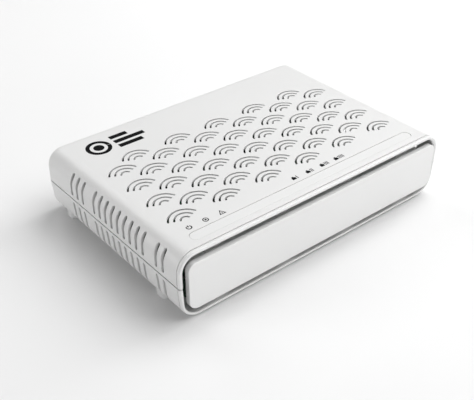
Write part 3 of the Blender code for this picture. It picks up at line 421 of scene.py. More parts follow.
def outer_stations():
    """(place along Y, inset) from the rounded rim, over the thin groove, to the rounded back."""
    rim = [(LIP_Y + rise, inset) for inset, rise in quarter(LIP_EDGE, RIM_STEPS)]
    groove_end = GROOVE_Y + GROOVE_WIDTH
    groove = [
        (GROOVE_Y, 0.0),
        (GROOVE_Y + GROOVE_SLOPE, GROOVE_DEPTH),
        (groove_end - GROOVE_SLOPE, GROOVE_DEPTH),
        (groove_end, 0.0),
    ]
    return rim + groove + rear_stations(0.0)


def cavity_stations(lip_wall):
    mouth = [(FRONT_Y - 2 * MM, LIP_MOUTH)]
    reach = lip_wall - LIP_MOUTH
    mouth += [(LIP_Y + rise, lip_wall - back) for back, rise in quarter(reach, RIM_STEPS)]
    mouth += [(LIP_Y + LIP_STEP[0], lip_wall), (LIP_Y + LIP_STEP[1], WALL)]
    return mouth + rear_stations(WALL)


def casing_loft(mesh, stations, outline):
    add_loft(mesh, [[(x, y, z) for x, z in outline(inset)] for y, inset in stations])


def side_x(z, inset):
    """Half width of the casing at height z, moved inward by inset."""
    if z >= PARTING_Z:
        above = max(z - (TOP_Z - TOP_RADIUS), 0.0)
        return HALF_WIDTH - TOP_RADIUS + sqrt((TOP_RADIUS - inset) ** 2 - above ** 2)
    arc_z = BASE_Z + BOTTOM_RADIUS
    if z >= arc_z:
        share = (z - arc_z) / (PARTING_Z - arc_z)
        return HALF_WIDTH_LOW + share * (HALF_WIDTH - HALF_WIDTH_LOW) - inset
    below = arc_z - z
    return HALF_WIDTH_LOW - BOTTOM_RADIUS + sqrt((BOTTOM_RADIUS - inset) ** 2 - below ** 2)


# ---- vents

def slot_outline(low_z, high_z, half):
    """Upright slot with round ends as (across, height) points, with stops along its sides."""
    steps, stops = 6, 9
    low, high = low_z + half, high_z - half
    points = arc(0, high, half, 0, pi, steps)
    points += [(-half, high + (low - high) * k / stops) for k in range(1, stops)]
    points += arc(0, low, half, pi, 2 * pi, steps)
    points += [(half, low + (high - low) * k / stops) for k in range(1, stops)]
    return points


def side_slots(z_range):
    """Cutters for one row of side slots on both sides, with a small break at the outer edge."""
    mesh = bmesh.new()
    narrow = slot_outline(*z_range, SLOT_WIDTH / 2)
    wide = slot_outline(z_range[0] - 2 * SLOT_FLARE, z_range[1] + 2 * SLOT_FLARE,
                        SLOT_WIDTH / 2 + 2 * SLOT_FLARE)
    for side in (-1, 1):
        for number in SLOT_NUMBERS:
            slot_y = SLOT_FIRST_Y + number * SLOT_PITCH
            add_loft(mesh, [
                [(side * (HALF_WIDTH - SLOT_REACH), slot_y + y, z) for y, z in narrow],
                [(side * side_x(z, SLOT_FLARE), slot_y + y, z) for y, z in narrow],
                [(side * side_x(z, -SLOT_FLARE), slot_y + y, z) for y, z in wide],
                [(side * (HALF_WIDTH + 2 * MM), slot_y + y, z) for y, z in wide],
            ])
    return mesh


def wave_end(radius, half, angle, ends):
    """Points of the half circle at one end of a curved slot, without its two ends."""
    centre = Vector((radius * sin(angle), radius * cos(angle)))
    outward = Vector((sin(angle), cos(angle)))
    away = Vector((cos(angle), -sin(angle))) * (1 if angle > 0 else -1)
    points = []
    for k in range(1, ends):
        turn = pi * k / ends
        spot = centre + outward * half * cos(turn) + away * abs(half) * sin(turn)
        points.append((spot.x, spot.y))
    return points


def wave_outline(radius, half, segments):
    """A curved slot about the origin with round ends, open towards -Y."""
    ends = 4
    points = []
    for k in range(segments + 1):
        turn = WAVE_HALF_ANGLE * (1 - 2 * k / segments)
        points.append(((radius + half) * sin(turn), (radius + half) * cos(turn)))
    points += wave_end(radius, half, -WAVE_HALF_ANGLE, ends)
    for k in range(segments + 1):
        turn = WAVE_HALF_ANGLE * (2 * k / segments - 1)
        points.append(((radius - half) * sin(turn), (radius - half) * cos(turn)))
    points += wave_end(radius, -half, WAVE_HALF_ANGLE, ends)
    return points


def wave_vents():
    mesh = bmesh.new()
    levels = ((TOP_Z - 3 * MM, 0), (TOP_Z - WAVE_FLARE, 0), (TOP_Z + WAVE_FLARE, 2), (TOP_Z + MM, 2))
    for row in range(WAVE_ROWS):
        count = 5 + row % 2
        y = WAVE_LAST_ROW_Y - row * WAVE_ROW_STEP
        for k in range(count):
            centre = ((k - (count - 1) / 2) * WAVE_PITCH, y)
            for radius, segments in zip(WAVE_RADII, WAVE_SEGMENTS):
                add_loft(mesh, [
                    along_z(wave_outline(radius, WAVE_SLOT / 2 + wider * WAVE_FLARE, segments), z, centre)
                    for z, wider in levels
                ])
    return mesh


def floor_vents():
    mesh = bmesh.new()
    half_x, half_y = FLOOR_SLOT_SIZE[0] / 2, FLOOR_SLOT_SIZE[1] / 2
    outline = rounded_rectangle(half_x, half_y, half_x * 0.98, 6)
    for side in (-1, 1):
        for k in range(-2, 3):
            centre = (side * FLOOR_SLOT_GROUP_X + k * FLOOR_SLOT_PITCH, FLOOR_SLOT_Y)
            add_loft(mesh, [along_z(outline, z, centre) for z in (BASE_Z - WALL, BASE_Z + 2 * WALL)])
    return mesh


# ---- printed marks

def disc(x, y, radius):
    return [(x + px, y + py) for px, py in circle(radius, 36)]


def ring_part(x, y, radius, width, start, end, steps=40):
    """Part of a ring from one angle to another, in radians."""
    inner = arc(x, y, radius - width / 2, start, end, steps)
    return arc(x, y, radius + width / 2, start, end, steps) + inner[::-1]


def stroke(points, width):
    """Outline of a line of even width through points, with mitred corners."""
    spots = [Vector(point) for point in points]
    runs = [(b - a).normalized() for a, b in zip(spots, spots[1:])]
    left, right = [], []
    for k, spot in enumerate(spots):
        before, after = runs[max(k - 1, 0)], runs[min(k, len(runs) - 1)]
        normal = Vector((-before.y - after.y, before.x + after.x))
        offset = normal * (width / 2) / (1 + before.dot(after))
        left.append(tuple(spot + offset))
        right.append(tuple(spot - offset))
    return left + right[::-1]


def frame_line(points, width):
    """A closed line, open by a hair in the middle of its last side."""
    first, last = Vector(points[0]), Vector(points[-1])
    gap = (first + last) / 2
    step = (first - last).normalized() * HAIR
    return stroke([tuple(gap + step), *points, tuple(gap - step)], width)


def power_mark(x, y, size):
    opening = radians(38)
    width = 0.2 * size
    return [
        ring_part(x, y, 0.42 * size, width, pi / 2 + opening, 2.5 * pi - opening),
        stroke([(x, y + 0.04 * size), (x, y + 0.56 * size)], width),
    ]


def fibre_mark(x, y, size):
    width = 0.18 * size
    return [ring_part(x, y, 0.44 * size, width, 0, FULL_TURN), disc(x, y, 0.2 * size)]


def alarm_mark(x, y, size):
    low, high, half = y - 0.42 * size, y + 0.5 * size, 0.52 * size
    return [
        frame_line([(x - half, low), (x + half, low), (x, high)], 0.16 * size),
        disc(x, y - 0.14 * size, 0.11 * size),
    ]


def network_mark(x, y, size, bars):
    """A solid socket plug with one to four upright bars beside it."""
    half, neck, step = 0.44 * size, 0.2 * size, 0.18 * size
    plug_x = x - 0.66 * size
    plug = ((-half, -half), (half, -half), (half, step), (neck, step),
            (neck, half), (-neck, half), (-neck, step), (-half, step))
    shapes = [[(plug_x + px, y + py) for px, py in plug]]
    for k in range(bars):
        bar_x = x + (0.06 + 0.32 * k) * size
        shapes.append(stroke([(bar_x, y - half), (bar_x, y + half)], 0.17 * size))
    return shapes


def maker_mark(left, right, low, high):
    """A plain abstract sign: a ringed disc and three staggered bars."""
    radius = (high - low) / 2
    x, y = left + radius, (low + high) / 2
    shapes = [
        ring_part(x, y, 0.84 * radius, 0.32 * radius, 0, FULL_TURN, 64),
        disc(x, y, 0.42 * radius),
    ]
    start = left + 2.35 * radius
    length = right - start
    for row, share in ((0.72, 0.58), (0.0, 1.0), (-0.72, 0.79)):
        level = y + row * radius
        shapes.append(stroke([(start, level), (start + share * length, level)], 0.46 * radius))
    return shapes


def lamp_marks():
    size = LAMP_MARK_SIZE
    y = STRIP_Y + LAMP_MARK_RISE
    shapes = power_mark(middle_x("led_power"), y, size)
    shapes += fibre_mark(middle_x("led_pon"), y, size)
    shapes += alarm_mark(middle_x("led_los"), y, size)
    for number in range(1, 5):
        shapes += network_mark(middle_x(f"led_lan_{number}"), y, size, number)
    return shapes


def port_marks():
    """Signs on the back wall above the ports; their first value runs to the right seen from behind."""
    size = PORT_MARK_SIZE
    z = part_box("lan_jack_1")[1][2] + PORT_MARK_RISE
    shapes = fibre_mark(-middle_x("fibre_port"), z, size)
    for number in range(1, 5):
        shapes += network_mark(-middle_x(f"lan_jack_{number}"), z, size, number)
    shapes += power_mark(-middle_x("power_button"), z, size)
    inlet = -middle_x("power_inlet")
    shapes.append(ring_part(inlet, z, 0.44 * size, 0.14 * size, 0, FULL_TURN))
    shapes.append(stroke([(inlet - 0.22 * size, z), (inlet + 0.22 * size, z)], 0.14 * size))
    reset = -middle_x("reset_plunger")
    shapes.append(ring_part(reset, z, 0.42 * size, 0.15 * size, radians(60), radians(330)))
    return shapes


def shrink(outline, play):
    """Move each point of an outline a little towards the outline's own inside."""
    count = len(outline)
    area = sum(outline[k - 1][0] * outline[k][1] - outline[k][0] * outline[k - 1][1] for k in range(count))
    side = 1 if area > 0 else -1
    moved = []
    for k in range(count):
        before, here, after = outline[k - 1], outline[k], outline[(k + 1) % count]
        run_x, run_y = after[0] - before[0], after[1] - before[1]
        length = hypot(run_x, run_y)
        moved.append((here[0] - side * play * run_y / length, here[1] + side * play * run_x / length))
    return moved


def on_top(outline, depth):
    return along_z(outline, TOP_Z - depth)


def on_back(outline, depth):
    return [(-u, REAR_Y - depth, z) for u, z in outline]


def print_pockets(shapes, place):
    mesh = bmesh.new()
    for outline in shapes:
        add_loft(mesh, [place(outline, depth) for depth in (PRINT_DEPTH, -MM)])
    return mesh


def print_ink(name, shapes, place, paint):
    mesh = bmesh.new()
    for outline in shapes:
        inner = shrink(outline, PRINT_PLAY)
        add_loft(mesh, [place(inner, depth) for depth in (PRINT_DEPTH, PRINT_SINK)])
    return piece(new_object(name, mesh), paint)


# ---- materials

class Nodes:
    """Short way to write a node tree."""

    def __init__(self, name):
        self.made = bpy.data.materials.new(name)
        self.made.use_nodes = True
        self.tree = self.made.node_tree
        self.shader = self.tree.nodes["Principled BSDF"]
        self.place = self.add("ShaderNodeTexCoord").outputs["Object"]

    def add(self, kind, inputs=(), **values):
        node = self.tree.nodes.new(kind)
        for key, value in values.items():
            setattr(node, key, value)
        for key, value in dict(inputs).items():
            node.inputs[key].default_value = value
        return node

    def link(self, start, end):
        self.tree.links.new(start, end)

    def set(self, **values):
        for key, value in values.items():
            self.shader.inputs[key.replace("_", " ")].default_value = value

    def noise(self, scale, detail=3.0, rough=0.55, place=None):
        node = self.add("ShaderNodeTexNoise", {"Scale": scale, "Detail": detail, "Roughness": rough})
        self.link(place or self.place, node.inputs["Vector"])
        return node.outputs["Fac"]

    def ramp(self, value, low, high):
        """Blend two colours by a 0 to 1 value."""
        node = self.add("ShaderNodeMix", {"A": (*low, 1.0), "B": (*high, 1.0)}, data_type="RGBA")
        self.link(value, node.inputs["Factor"])
        return node.outputs["Result"]

    def spread(self, value, low, high, start=0.3, end=0.7):
        node = self.add("ShaderNodeMapRange", {
            "From Min": start, "From Max": end, "To Min": low, "To Max": high})
        self.link(value, node.inputs["Value"])
        return node.outputs["Result"]

    def bump(self, height, distance, strength=1.0, before=None):
        node = self.add("ShaderNodeBump", {"Distance": distance, "Strength": strength})
        self.link(height, node.inputs["Height"])
        if before is not None:
            self.link(before, node.inputs["Normal"])
        return node.outputs["Normal"]

    def colour(self, output):
        self.link(output, self.shader.inputs["Base Color"])

    def roughness(self, output):
        self.link(output, self.shader.inputs["Roughness"])

    def normal(self, output):
        self.link(output, self.shader.inputs["Normal"])


def tinted(colour, factor):
    return tuple(min(1.0, channel * factor) for channel in colour)


def moulded_plastic(name, colour, rough, grain=1500.0, depth=0.012 * MM, shift=0.02, specular=0.5):
    """Moulded plastic: fine spark-eroded grain, faint flow clouds in tone, a hint of waviness."""
    paint = Nodes(name)
    clouds = paint.noise(18.0, 2.0)
    paint.colour(paint.ramp(clouds, tinted(colour, 1 - shift), tinted(colour, 1 + shift)))
    speckle = paint.noise(grain, 4.0, 0.6)
    paint.roughness(paint.spread(speckle, rough - 0.05, rough + 0.05))
    fine = paint.bump(speckle, depth, 0.6)
    paint.normal(paint.bump(paint.noise(54.0, 1.0), 0.02 * MM, 0.25, fine))
    paint.set(Specular_IOR_Level=specular)
    return paint.made


def metal(name, colour, rough, brush=(1.0, 1.0, 1.0)):
    """Plated or plain metal; brush stretches the texture so that it runs one way."""
    paint = Nodes(name)
    stretch = paint.add("ShaderNodeMapping", {"Scale": brush})
    paint.link(paint.place, stretch.inputs["Vector"])
    lines = paint.noise(900.0, 4.0, 0.6, stretch.outputs["Vector"])
    clouds = paint.noise(60.0, 3.0)
    paint.colour(paint.ramp(clouds, tinted(colour, 0.94), tinted(colour, 1.06)))
    paint.roughness(paint.spread(lines, rough - 0.08, rough + 0.1))
    paint.normal(paint.bump(lines, 0.006 * MM, 0.5))
    paint.set(Metallic=1.0)
    return paint.made


def clear_plastic(name, colour, rough):
    """Clear plastic for the light guide, with faint flow lines."""
    paint = Nodes(name)
    flow = paint.noise(90.0, 2.0)
    paint.colour(paint.ramp(flow, tinted(colour, 0.97), colour))
    paint.roughness(paint.spread(flow, rough, rough + 0.06))
    paint.normal(paint.bump(flow, 0.01 * MM, 0.3))
    paint.set(Transmission_Weight=0.6, IOR=1.49)
    return paint.made


def circuit_board(name):
    """Green solder resist over copper: a grid of traces with round pads."""
    paint = Nodes(name)
    cells = paint.add("ShaderNodeTexBrick", {
        "Scale": 260.0,
        "Mortar Size": 0.035,
        "Brick Width": 0.9,
        "Row Height": 0.28,
        "Color1": (0.006, 0.036, 0.016, 1.0),
        "Color2": (0.008, 0.046, 0.02, 1.0),
        "Mortar": (0.018, 0.09, 0.038, 1.0),
    })
    paint.link(paint.place, cells.inputs["Vector"])
    pads = paint.add("ShaderNodeTexVoronoi", {"Scale": 240.0}, feature="F1")
    paint.link(paint.place, pads.inputs["Vector"])
    dots = paint.spread(pads.outputs["Distance"], 1.0, 0.0, 0.10, 0.13)
    blend = paint.add("ShaderNodeMix", {"B": (0.55, 0.56, 0.52, 1.0)}, data_type="RGBA")
    paint.link(dots, blend.inputs["Factor"])
    paint.link(cells.outputs["Color"], blend.inputs["A"])
    paint.colour(blend.outputs["Result"])
    paint.roughness(paint.spread(paint.noise(700.0), 0.3, 0.42))
    paint.normal(paint.bump(cells.outputs["Fac"], 0.03 * MM, 0.6))
    return paint.made


def paper(name, colour):
    """Matt label stock with fine fibres."""
    paint = Nodes(name)
    fibres = paint.noise(2600.0, 5.0, 0.7)
    paint.colour(paint.ramp(fibres, tinted(colour, 0.95), colour))
    paint.roughness(paint.spread(fibres, 0.5, 0.65))
    paint.normal(paint.bump(fibres, 0.01 * MM, 0.5))
    return paint.made


WHITE = moulded_plastic("white_shell", (0.68, 0.68, 0.676), 0.42)
PANEL_WHITE = moulded_plastic("white_panel", (0.69, 0.69, 0.686), 0.36, depth=0.006 * MM)
WINDOW = moulded_plastic("window_film", (0.70, 0.70, 0.696), 0.36, grain=500.0, depth=0.003 * MM)
CLEAR = clear_plastic("clear_guide", (0.9, 0.92, 0.93), 0.08)
INK = moulded_plastic("black_ink", (0.004, 0.004, 0.0045), 0.65, grain=2500.0, shift=0.15, specular=0.06)
GREY_INK = moulded_plastic("grey_ink", (0.10, 0.10, 0.105), 0.5, grain=2500.0, shift=0.1)
BLACK = moulded_plastic("black_plastic", (0.018, 0.018, 0.019), 0.38, shift=0.12)
CHIP = moulded_plastic("chip_black", (0.022, 0.022, 0.022), 0.55, grain=2400.0, shift=0.15)
GREY = moulded_plastic("grey_plastic", (0.22, 0.225, 0.23), 0.5, shift=0.05)
BUTTON = moulded_plastic("button_white", (0.66, 0.66, 0.655), 0.4)
PORT_GREEN = moulded_plastic("port_green", (0.02, 0.26, 0.07), 0.36, shift=0.06)
CERAMIC = moulded_plastic("sleeve_ceramic", (0.85, 0.85, 0.83), 0.16, grain=700.0, depth=0.002 * MM)
GOLD = metal("contact_gold", (0.83, 0.58, 0.22), 0.22)
STEEL = metal("plated_steel", (0.58, 0.585, 0.59), 0.28, (1, 12, 1))
ALUMINIUM = metal("aluminium", (0.76, 0.765, 0.77), 0.36, (14, 1, 1))
RUBBER = moulded_plastic("soft_cap", (0.035, 0.035, 0.038), 0.7, grain=1800.0, depth=0.02 * MM, shift=0.1)
LAMP = moulded_plastic("lamp_resin", (0.80, 0.79, 0.68), 0.25, grain=900.0)
PAD = moulded_plastic("pad_grey", (0.30, 0.36, 0.42), 0.85, grain=1200.0)
FERRITE = moulded_plastic("ferrite", (0.05, 0.05, 0.055), 0.6, grain=900.0, depth=0.03 * MM, shift=0.15)
BOARD = circuit_board("board_green")
LABEL = paper("label_paper", (0.80, 0.80, 0.785))


# ---- camera, floor and light

def direction(azimuth, elevation):
    """Unit vector from the terminal; azimuth 0 is in front of it, 90 on its right."""
    turn, rise = radians(azimuth), radians(elevation)
    return Vector((sin(turn) * cos(rise), -cos(turn) * cos(rise), sin(rise)))


def make_camera():
    back = direction(*CAMERA_SIDE)
    data = bpy.data.cameras.new("camera")
    data.sensor_width = 36.0
    data.lens = CAMERA_LENS
    camera = bpy.data.objects.new("camera", data)
    bpy.context.scene.collection.objects.link(camera)
    camera.location = CAMERA_PLACE
    camera.rotation_mode = "QUATERNION"
    camera.rotation_quaternion = (-back).to_track_quat("-Z", "Y")
    bpy.context.scene.camera = camera


def make_floor():
    mesh = bmesh.new()
    corners = ((-1, -1), (1, -1), (1, 1), (-1, 1))
    mesh.faces.new([mesh.verts.new((x * FLOOR_REACH, y * FLOOR_REACH, CAD_LOW[2])) for x, y in corners])
    floor = new_object("floor", mesh)
    paint = Nodes("floor_paper")
    paint.colour(paint.ramp(paint.noise(6.0), (0.77, 0.77, 0.77), (0.79, 0.79, 0.79)))
    paint.set(Roughness=0.75, Specular_IOR_Level=0.2)
    # painted light: the floor glows, more the further it lies from the terminal, so that it stays pale where
    # the lamps no longer reach
    away = paint.add("ShaderNodeVectorMath", operation="LENGTH")
    paint.link(paint.place, away.inputs[0])
    glow = paint.spread(away.outputs["Value"], 0.0, FLOOR_GLOW, *FLOOR_GLOW_REACH)
    paint.link(glow, paint.shader.inputs["Emission Strength"])
    paint.set(Emission_Color=(1.0, 1.0, 1.0, 1.0))
    floor.data.materials.append(paint.made)


def area_light(name, azimuth, elevation, power, side=0.5):
    """A square softbox that faces the terminal."""
    away = direction(azimuth, elevation)
    data = bpy.data.lights.new(name, "AREA")
    data.shape = "SQUARE"
    data.size = side
    data.energy = power
    light = bpy.data.objects.new(name, data)
    bpy.context.scene.collection.objects.link(light)
    light.location = away * LIGHT_DISTANCE
    light.rotation_mode = "QUATERNION"
    light.rotation_quaternion = (-away).to_track_quat("-Z", "Y")


def make_light():
    world = bpy.data.worlds.new("studio")
    world.use_nodes = True
    background = world.node_tree.nodes["Background"]
    background.inputs["Color"].default_value = (1.0, 1.0, 1.0, 1.0)
    background.inputs["Strength"].default_value = 0.015
    bpy.context.scene.world = world
    bpy.context.scene.view_settings.view_transform = "Standard"
    area_light("key_right", 60, 55, 12.8, side=1.2)
    area_light("side_right", 90, 35, 3.4)
    area_light("rear_right", 120, 55, 2.9)
    area_light("rear", 180, 45, 2.5)
    area_light("low_left", -120, 15, 4.5)
    area_light("low_front", 0, 6, 2.7, side=0.2)
    area_light("front_left", -30, 8, 2.1, side=0.3)


# ---- shells

def port_openings():
    """Openings of the back wall, shared by both shells, one for each port and control."""
    mesh = bmesh.new()
    play = OPENING_PLAY
    inner, outer = REAR_Y - 2 * WALL, REAR_Y + WALL
    nodes = [f"lan_jack_{k}" for k in range(1, 5)] + ["fibre_port", "power_inlet"]
    for node in nodes:
        low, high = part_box(node)
        add_box(mesh, (low[0] - play, inner, low[2] - play), (high[0] + play, outer, high[2] + play))
    x, z = button_centre()
    reach = BUTTON_SIDE / 2 + play
    outline = rounded_rectangle(reach, reach, BUTTON_HOLE_CORNER, 5)
    add_loft(mesh, [along_y(outline, y, (x, z)) for y in (inner, outer)])
    profile = ((RESET_HOLE_RADIUS, inner), (RESET_HOLE_RADIUS, outer))
    add_turned(mesh, (middle_x("reset_plunger"), 0, RESET_Z), profile, "Y", 28)
    return mesh


def strip_outline(grow):
    """Outline of the light strip with half-round ends, a little larger or smaller."""
    half, radius = (size + grow for size in STRIP_HALF)
    return rounded_rectangle(half, radius, radius * 0.999, 14, (0, STRIP_Y))


def make_top_shell():
    mesh = bmesh.new()
    cut = PARTING_Z + PARTING_GAP / 2
    casing_loft(mesh, outer_stations(), lambda inset: upper_outline(inset, cut, PARTING_NOTCH))
    shell = new_object("top_shell_fine", mesh)
    hollow = bmesh.new()
    below = PARTING_Z - 5 * MM
    casing_loft(hollow, cavity_stations(UPPER_LIP_WALL), lambda inset: upper_outline(inset, below))
    carve(shell, hollow)

    bosses = bmesh.new()
    ends = (CASE_CUP_TOP_Z + PARTING_GAP, TOP_Z - WALL / 2)
    for x, y in case_screw_places():
        add_turned(bosses, (x, y, 0), [(CASE_BOSS_RADIUS, z) for z in ends], steps=28)
    carve(shell, bosses, "UNION")

    strip = bmesh.new()
    add_loft(strip, [along_z(strip_outline(STRIP_PLAY), z) for z in (TOP_Z - STRIP_POCKET, TOP_Z + MM)])
    carve(shell, strip)
    pipes = bmesh.new()
    ends = (TOP_Z - 3 * WALL, TOP_Z - STRIP_POCKET / 2)
    for name in LAMPS:
        add_turned(pipes, (middle_x(name), STRIP_Y, 0), [(PIPE_HOLE_RADIUS, z) for z in ends], steps=24)
    carve(shell, pipes)
    carve(shell, wave_vents())
    carve(shell, side_slots(UPPER_SLOT_Z))
    carve(shell, port_openings())
    carve(shell, print_pockets(TOP_MARK + LAMP_MARKS, on_top))
    carve(shell, print_pockets(PORT_MARKS, on_back))
    piece(shell, WHITE, ["top_shell"])


def add_foot(mesh, x, y):
    rings = []
    for inset, rise in quarter(FOOT_EDGE, 4):
        outline = rounded_rectangle(FOOT_HALF[0] - inset, FOOT_HALF[1] - inset, FOOT_CORNER - inset, 8)
        rings.append(along_z(outline, rise, (x, y)))
    outline = rounded_rectangle(*FOOT_HALF, FOOT_CORNER, 8)
    rings.append(along_z(outline, FOOT_TOP_Z, (x, y)))
    add_loft(mesh, rings)


def make_bottom_shell():
    mesh = bmesh.new()
    cut = PARTING_Z - PARTING_GAP / 2
    casing_loft(mesh, outer_stations(), lambda inset: lower_outline(inset, cut, PARTING_NOTCH))
    shell = new_object("bottom_shell_fine", mesh)
    feet = bmesh.new()
    for side in (-1, 1):
        for y in FOOT_YS:
            add_foot(feet, side * FOOT_X, y)
    carve(shell, feet, "UNION")
    hollow = bmesh.new()
    casing_loft(hollow, cavity_stations(WALL), lambda inset: lower_outline(inset, PARTING_Z + 5 * MM))
    carve(shell, hollow)

    tongue = bmesh.new()
    add_tongue(tongue)
    carve(shell, tongue, "UNION")

    cups = bmesh.new()
    ends = (BASE_Z + WALL / 2, CASE_CUP_TOP_Z)
    for x, y in case_screw_places():
        add_turned(cups, (x, y, 0), [(CASE_CUP_RADIUS, z) for z in ends], steps=32)
    carve(shell, cups, "UNION")

    holes = bmesh.new()
    for x, y in case_screw_places():
        add_turned(holes, (x, y, 0), (
            (CASE_BORE_RADIUS + MM, BASE_Z - MM),
            (CASE_BORE_RADIUS, BASE_Z + 0.25 * MM),
            (CASE_BORE_RADIUS, CASE_BORE_TOP_Z),
            (CASE_PILOT_RADIUS, CASE_BORE_TOP_Z),
            (CASE_PILOT_RADIUS, CASE_CUP_TOP_Z + WALL),
        ), steps=32)
    half_x, half_y, _ = (size + LABEL_PLAY for size in half_size("rating_label"))
    centre = middle("rating_label")[:2]
    outline = rounded_rectangle(half_x, half_y, LABEL_CORNER + LABEL_PLAY, 6, centre)
    add_loft(holes, [along_z(outline, z) for z in (BASE_Z - MM, BASE_Z + LABEL_RECESS)])
    carve(shell, holes)
    carve(shell, floor_vents())
    carve(shell, side_slots(LOWER_SLOT_Z))
    carve(shell, port_openings())
    piece(shell, WHITE, ["bottom_shell"])


def add_tongue(mesh):
    """The low wall inside the bottom shell that laps the top shell, so that no light shows between."""
    for side in (-1, 1):
        outer, inner = HALF_WIDTH - WALL + TONGUE_ROOT, HALF_WIDTH - WALL - TONGUE_WALL
        ends = sorted((side * outer, side * inner))
        low = (ends[0], LIP_Y + LIP_DEPTH + MM, PARTING_Z - 3 * MM)
        add_box(mesh, low, (ends[1], REAR_Y - REAR_RADIUS - MM, PARTING_Z + TONGUE_HEIGHT))


# ---- front panel and light strip

def upright_ring(half_x, half_z, corner, y):
    """A rounded rectangle in the plane of the front panel."""
    return along_y(rounded_rectangle(half_x, half_z, corner, 12), y, (0, (PANEL_Z[1] + PANEL_Z[0]) / 2))


def panel_ring(inset, y):
    half_z = (PANEL_Z[1] - PANEL_Z[0]) / 2
    upper, lower = (
        upright_ring(PANEL_HALF_WIDTH - inset, half_z - inset, corner - inset, y)
        for corner in PANEL_CORNERS)
    half = len(upper) // 2
    return upper[:half] + lower[half:]


def skirt_ring(inset, y):
    half_x = PANEL_HALF_WIDTH - PANEL_SKIRT_END_INSET
    half_z = (PANEL_Z[1] - PANEL_Z[0]) / 2 - PANEL_SKIRT_INSET
    return upright_ring(half_x - inset, half_z - inset, PANEL_SKIRT_CORNER - inset, y)


def make_front_panel():
    mesh = bmesh.new()
    back = PANEL_HIGH[1]
    rings = [panel_ring(inset, FRONT_Y + rise) for inset, rise in quarter(PANEL_EDGE, 6)]
    rings.append(panel_ring(0.0, FRONT_Y + PANEL_RIM))
    rings += [skirt_ring(0.0, y) for y in (FRONT_Y + PANEL_RIM, back)]
    add_loft(mesh, rings)
    panel = new_object("front_panel_fine", mesh)
    hollow = bmesh.new()
    add_loft(hollow, [skirt_ring(PANEL_SKIRT_WALL, y) for y in (FRONT_Y + PANEL_PLATE, back + WALL)])
    carve(panel, hollow)
    tabs = bmesh.new()
    root = PANEL_SKIRT_INSET + PANEL_SKIRT_WALL / 2
    for x in PANEL_TAB_XS:
        left, right = x - PANEL_TAB_HALF, x + PANEL_TAB_HALF
        add_box(tabs, (left, back - PANEL_TAB_DEPTH, PANEL_Z[1] - root), (right, back, PANEL_HIGH[2]))
        add_box(tabs, (left, PANEL_LOW_TAB_Y, PANEL_LOW[2]),
                (right, PANEL_LOW_TAB_Y + PANEL_TAB_DEPTH, PANEL_Z[0] + root))
    carve(panel, tabs, "UNION")
    piece(panel, PANEL_WHITE, ["front_panel"])


def make_led_window():
    mesh = bmesh.new()
    levels = ((0.0, STRIP_LOW[2]), (0.0, STRIP_HIGH[2] - STRIP_EDGE), (STRIP_EDGE, STRIP_HIGH[2]))
    add_loft(mesh, [along_z(strip_outline(-inset), z) for inset, z in levels])
    piece(new_object("led_window_fine", mesh), WINDOW, ["led_window"])


# ---- ports and controls

def carve_openings(port, openings, x, z, face, bevel):
    """Cut square openings into a port's face, with a bevel round the mouth of each."""
    for half, depth, bottom, top in openings:
        cutter = bmesh.new()
        rings = []
        for y, grow in ((face - depth * MM, 0.0), (face - bevel, 0.0), (face + bevel, 2 * bevel)):
            left, right = x - half * MM - grow, x + half * MM + grow
            low_z, high_z = z + bottom * MM - grow, z + top * MM + grow
            rings.append([(left, y, low_z), (right, y, low_z), (right, y, high_z), (left, y, high_z)])
        add_loft(cutter, rings)
        carve(port, cutter)


def make_lan_jack(number):
    node = f"lan_jack_{number}"
    low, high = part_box(node)
    mesh = bmesh.new()
    add_box(mesh, low, high, 0.25 * MM, 2)
    jack = new_object(f"{node}_fine", mesh)
    carve_openings(jack, LAN_OPENINGS, middle_x(node), low[2], high[1], LAN_BEVEL)
    piece(jack, BLACK, [node])


def add_wire(mesh, points, radius, steps, material_index):
    """A wire through points that lie in one plane of constant X."""
    rings = []
    for k, point in enumerate(points):
        before, after = points[max(k - 1, 0)], points[min(k + 1, len(points) - 1)]
        run = (Vector(after) - Vector(before)).normalized()
        side = Vector((1, 0, 0))
        up = side.cross(run)
        rings.append([Vector(point) + side * a + up * b for a, b in circle(radius, steps)])
    add_loft(mesh, rings, material_index)


def make_lan_contacts(number):
    node = f"lan_contacts_{number}"
    low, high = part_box(node)
    block_y = low[1] + 2.2 * MM
    mesh = bmesh.new()
    add_box(mesh, low, (high[0], block_y, high[2]), 0.15 * MM, 2)
    root_z, tip_z = low[2] + 4.2 * MM, high[2] - 0.3 * MM
    for k in range(CONTACT_COUNT):
        x = middle_x(node) + (k - (CONTACT_COUNT - 1) / 2) * CONTACT_PITCH
        path = [
            (x, block_y - 0.5 * MM, root_z),
            (x, block_y + 0.5 * MM, root_z),
            (x, block_y + 1.0 * MM, root_z + 0.12 * MM),
            (x, high[1] - 1.2 * MM, tip_z - 0.15 * MM),
            (x, high[1] - 0.6 * MM, tip_z),
            (x, high[1], tip_z),
        ]
        add_wire(mesh, path, CONTACT_RADIUS, 8, 1)
        add_box(mesh, (x - 0.32 * MM, block_y - 0.2 * MM, root_z - 0.9 * MM),
                (x + 0.32 * MM, block_y + 0.35 * MM, root_z - 0.35 * MM), 0.08 * MM, 1)
    piece(new_object(f"{node}_fine", mesh), [BLACK, GOLD], [node])


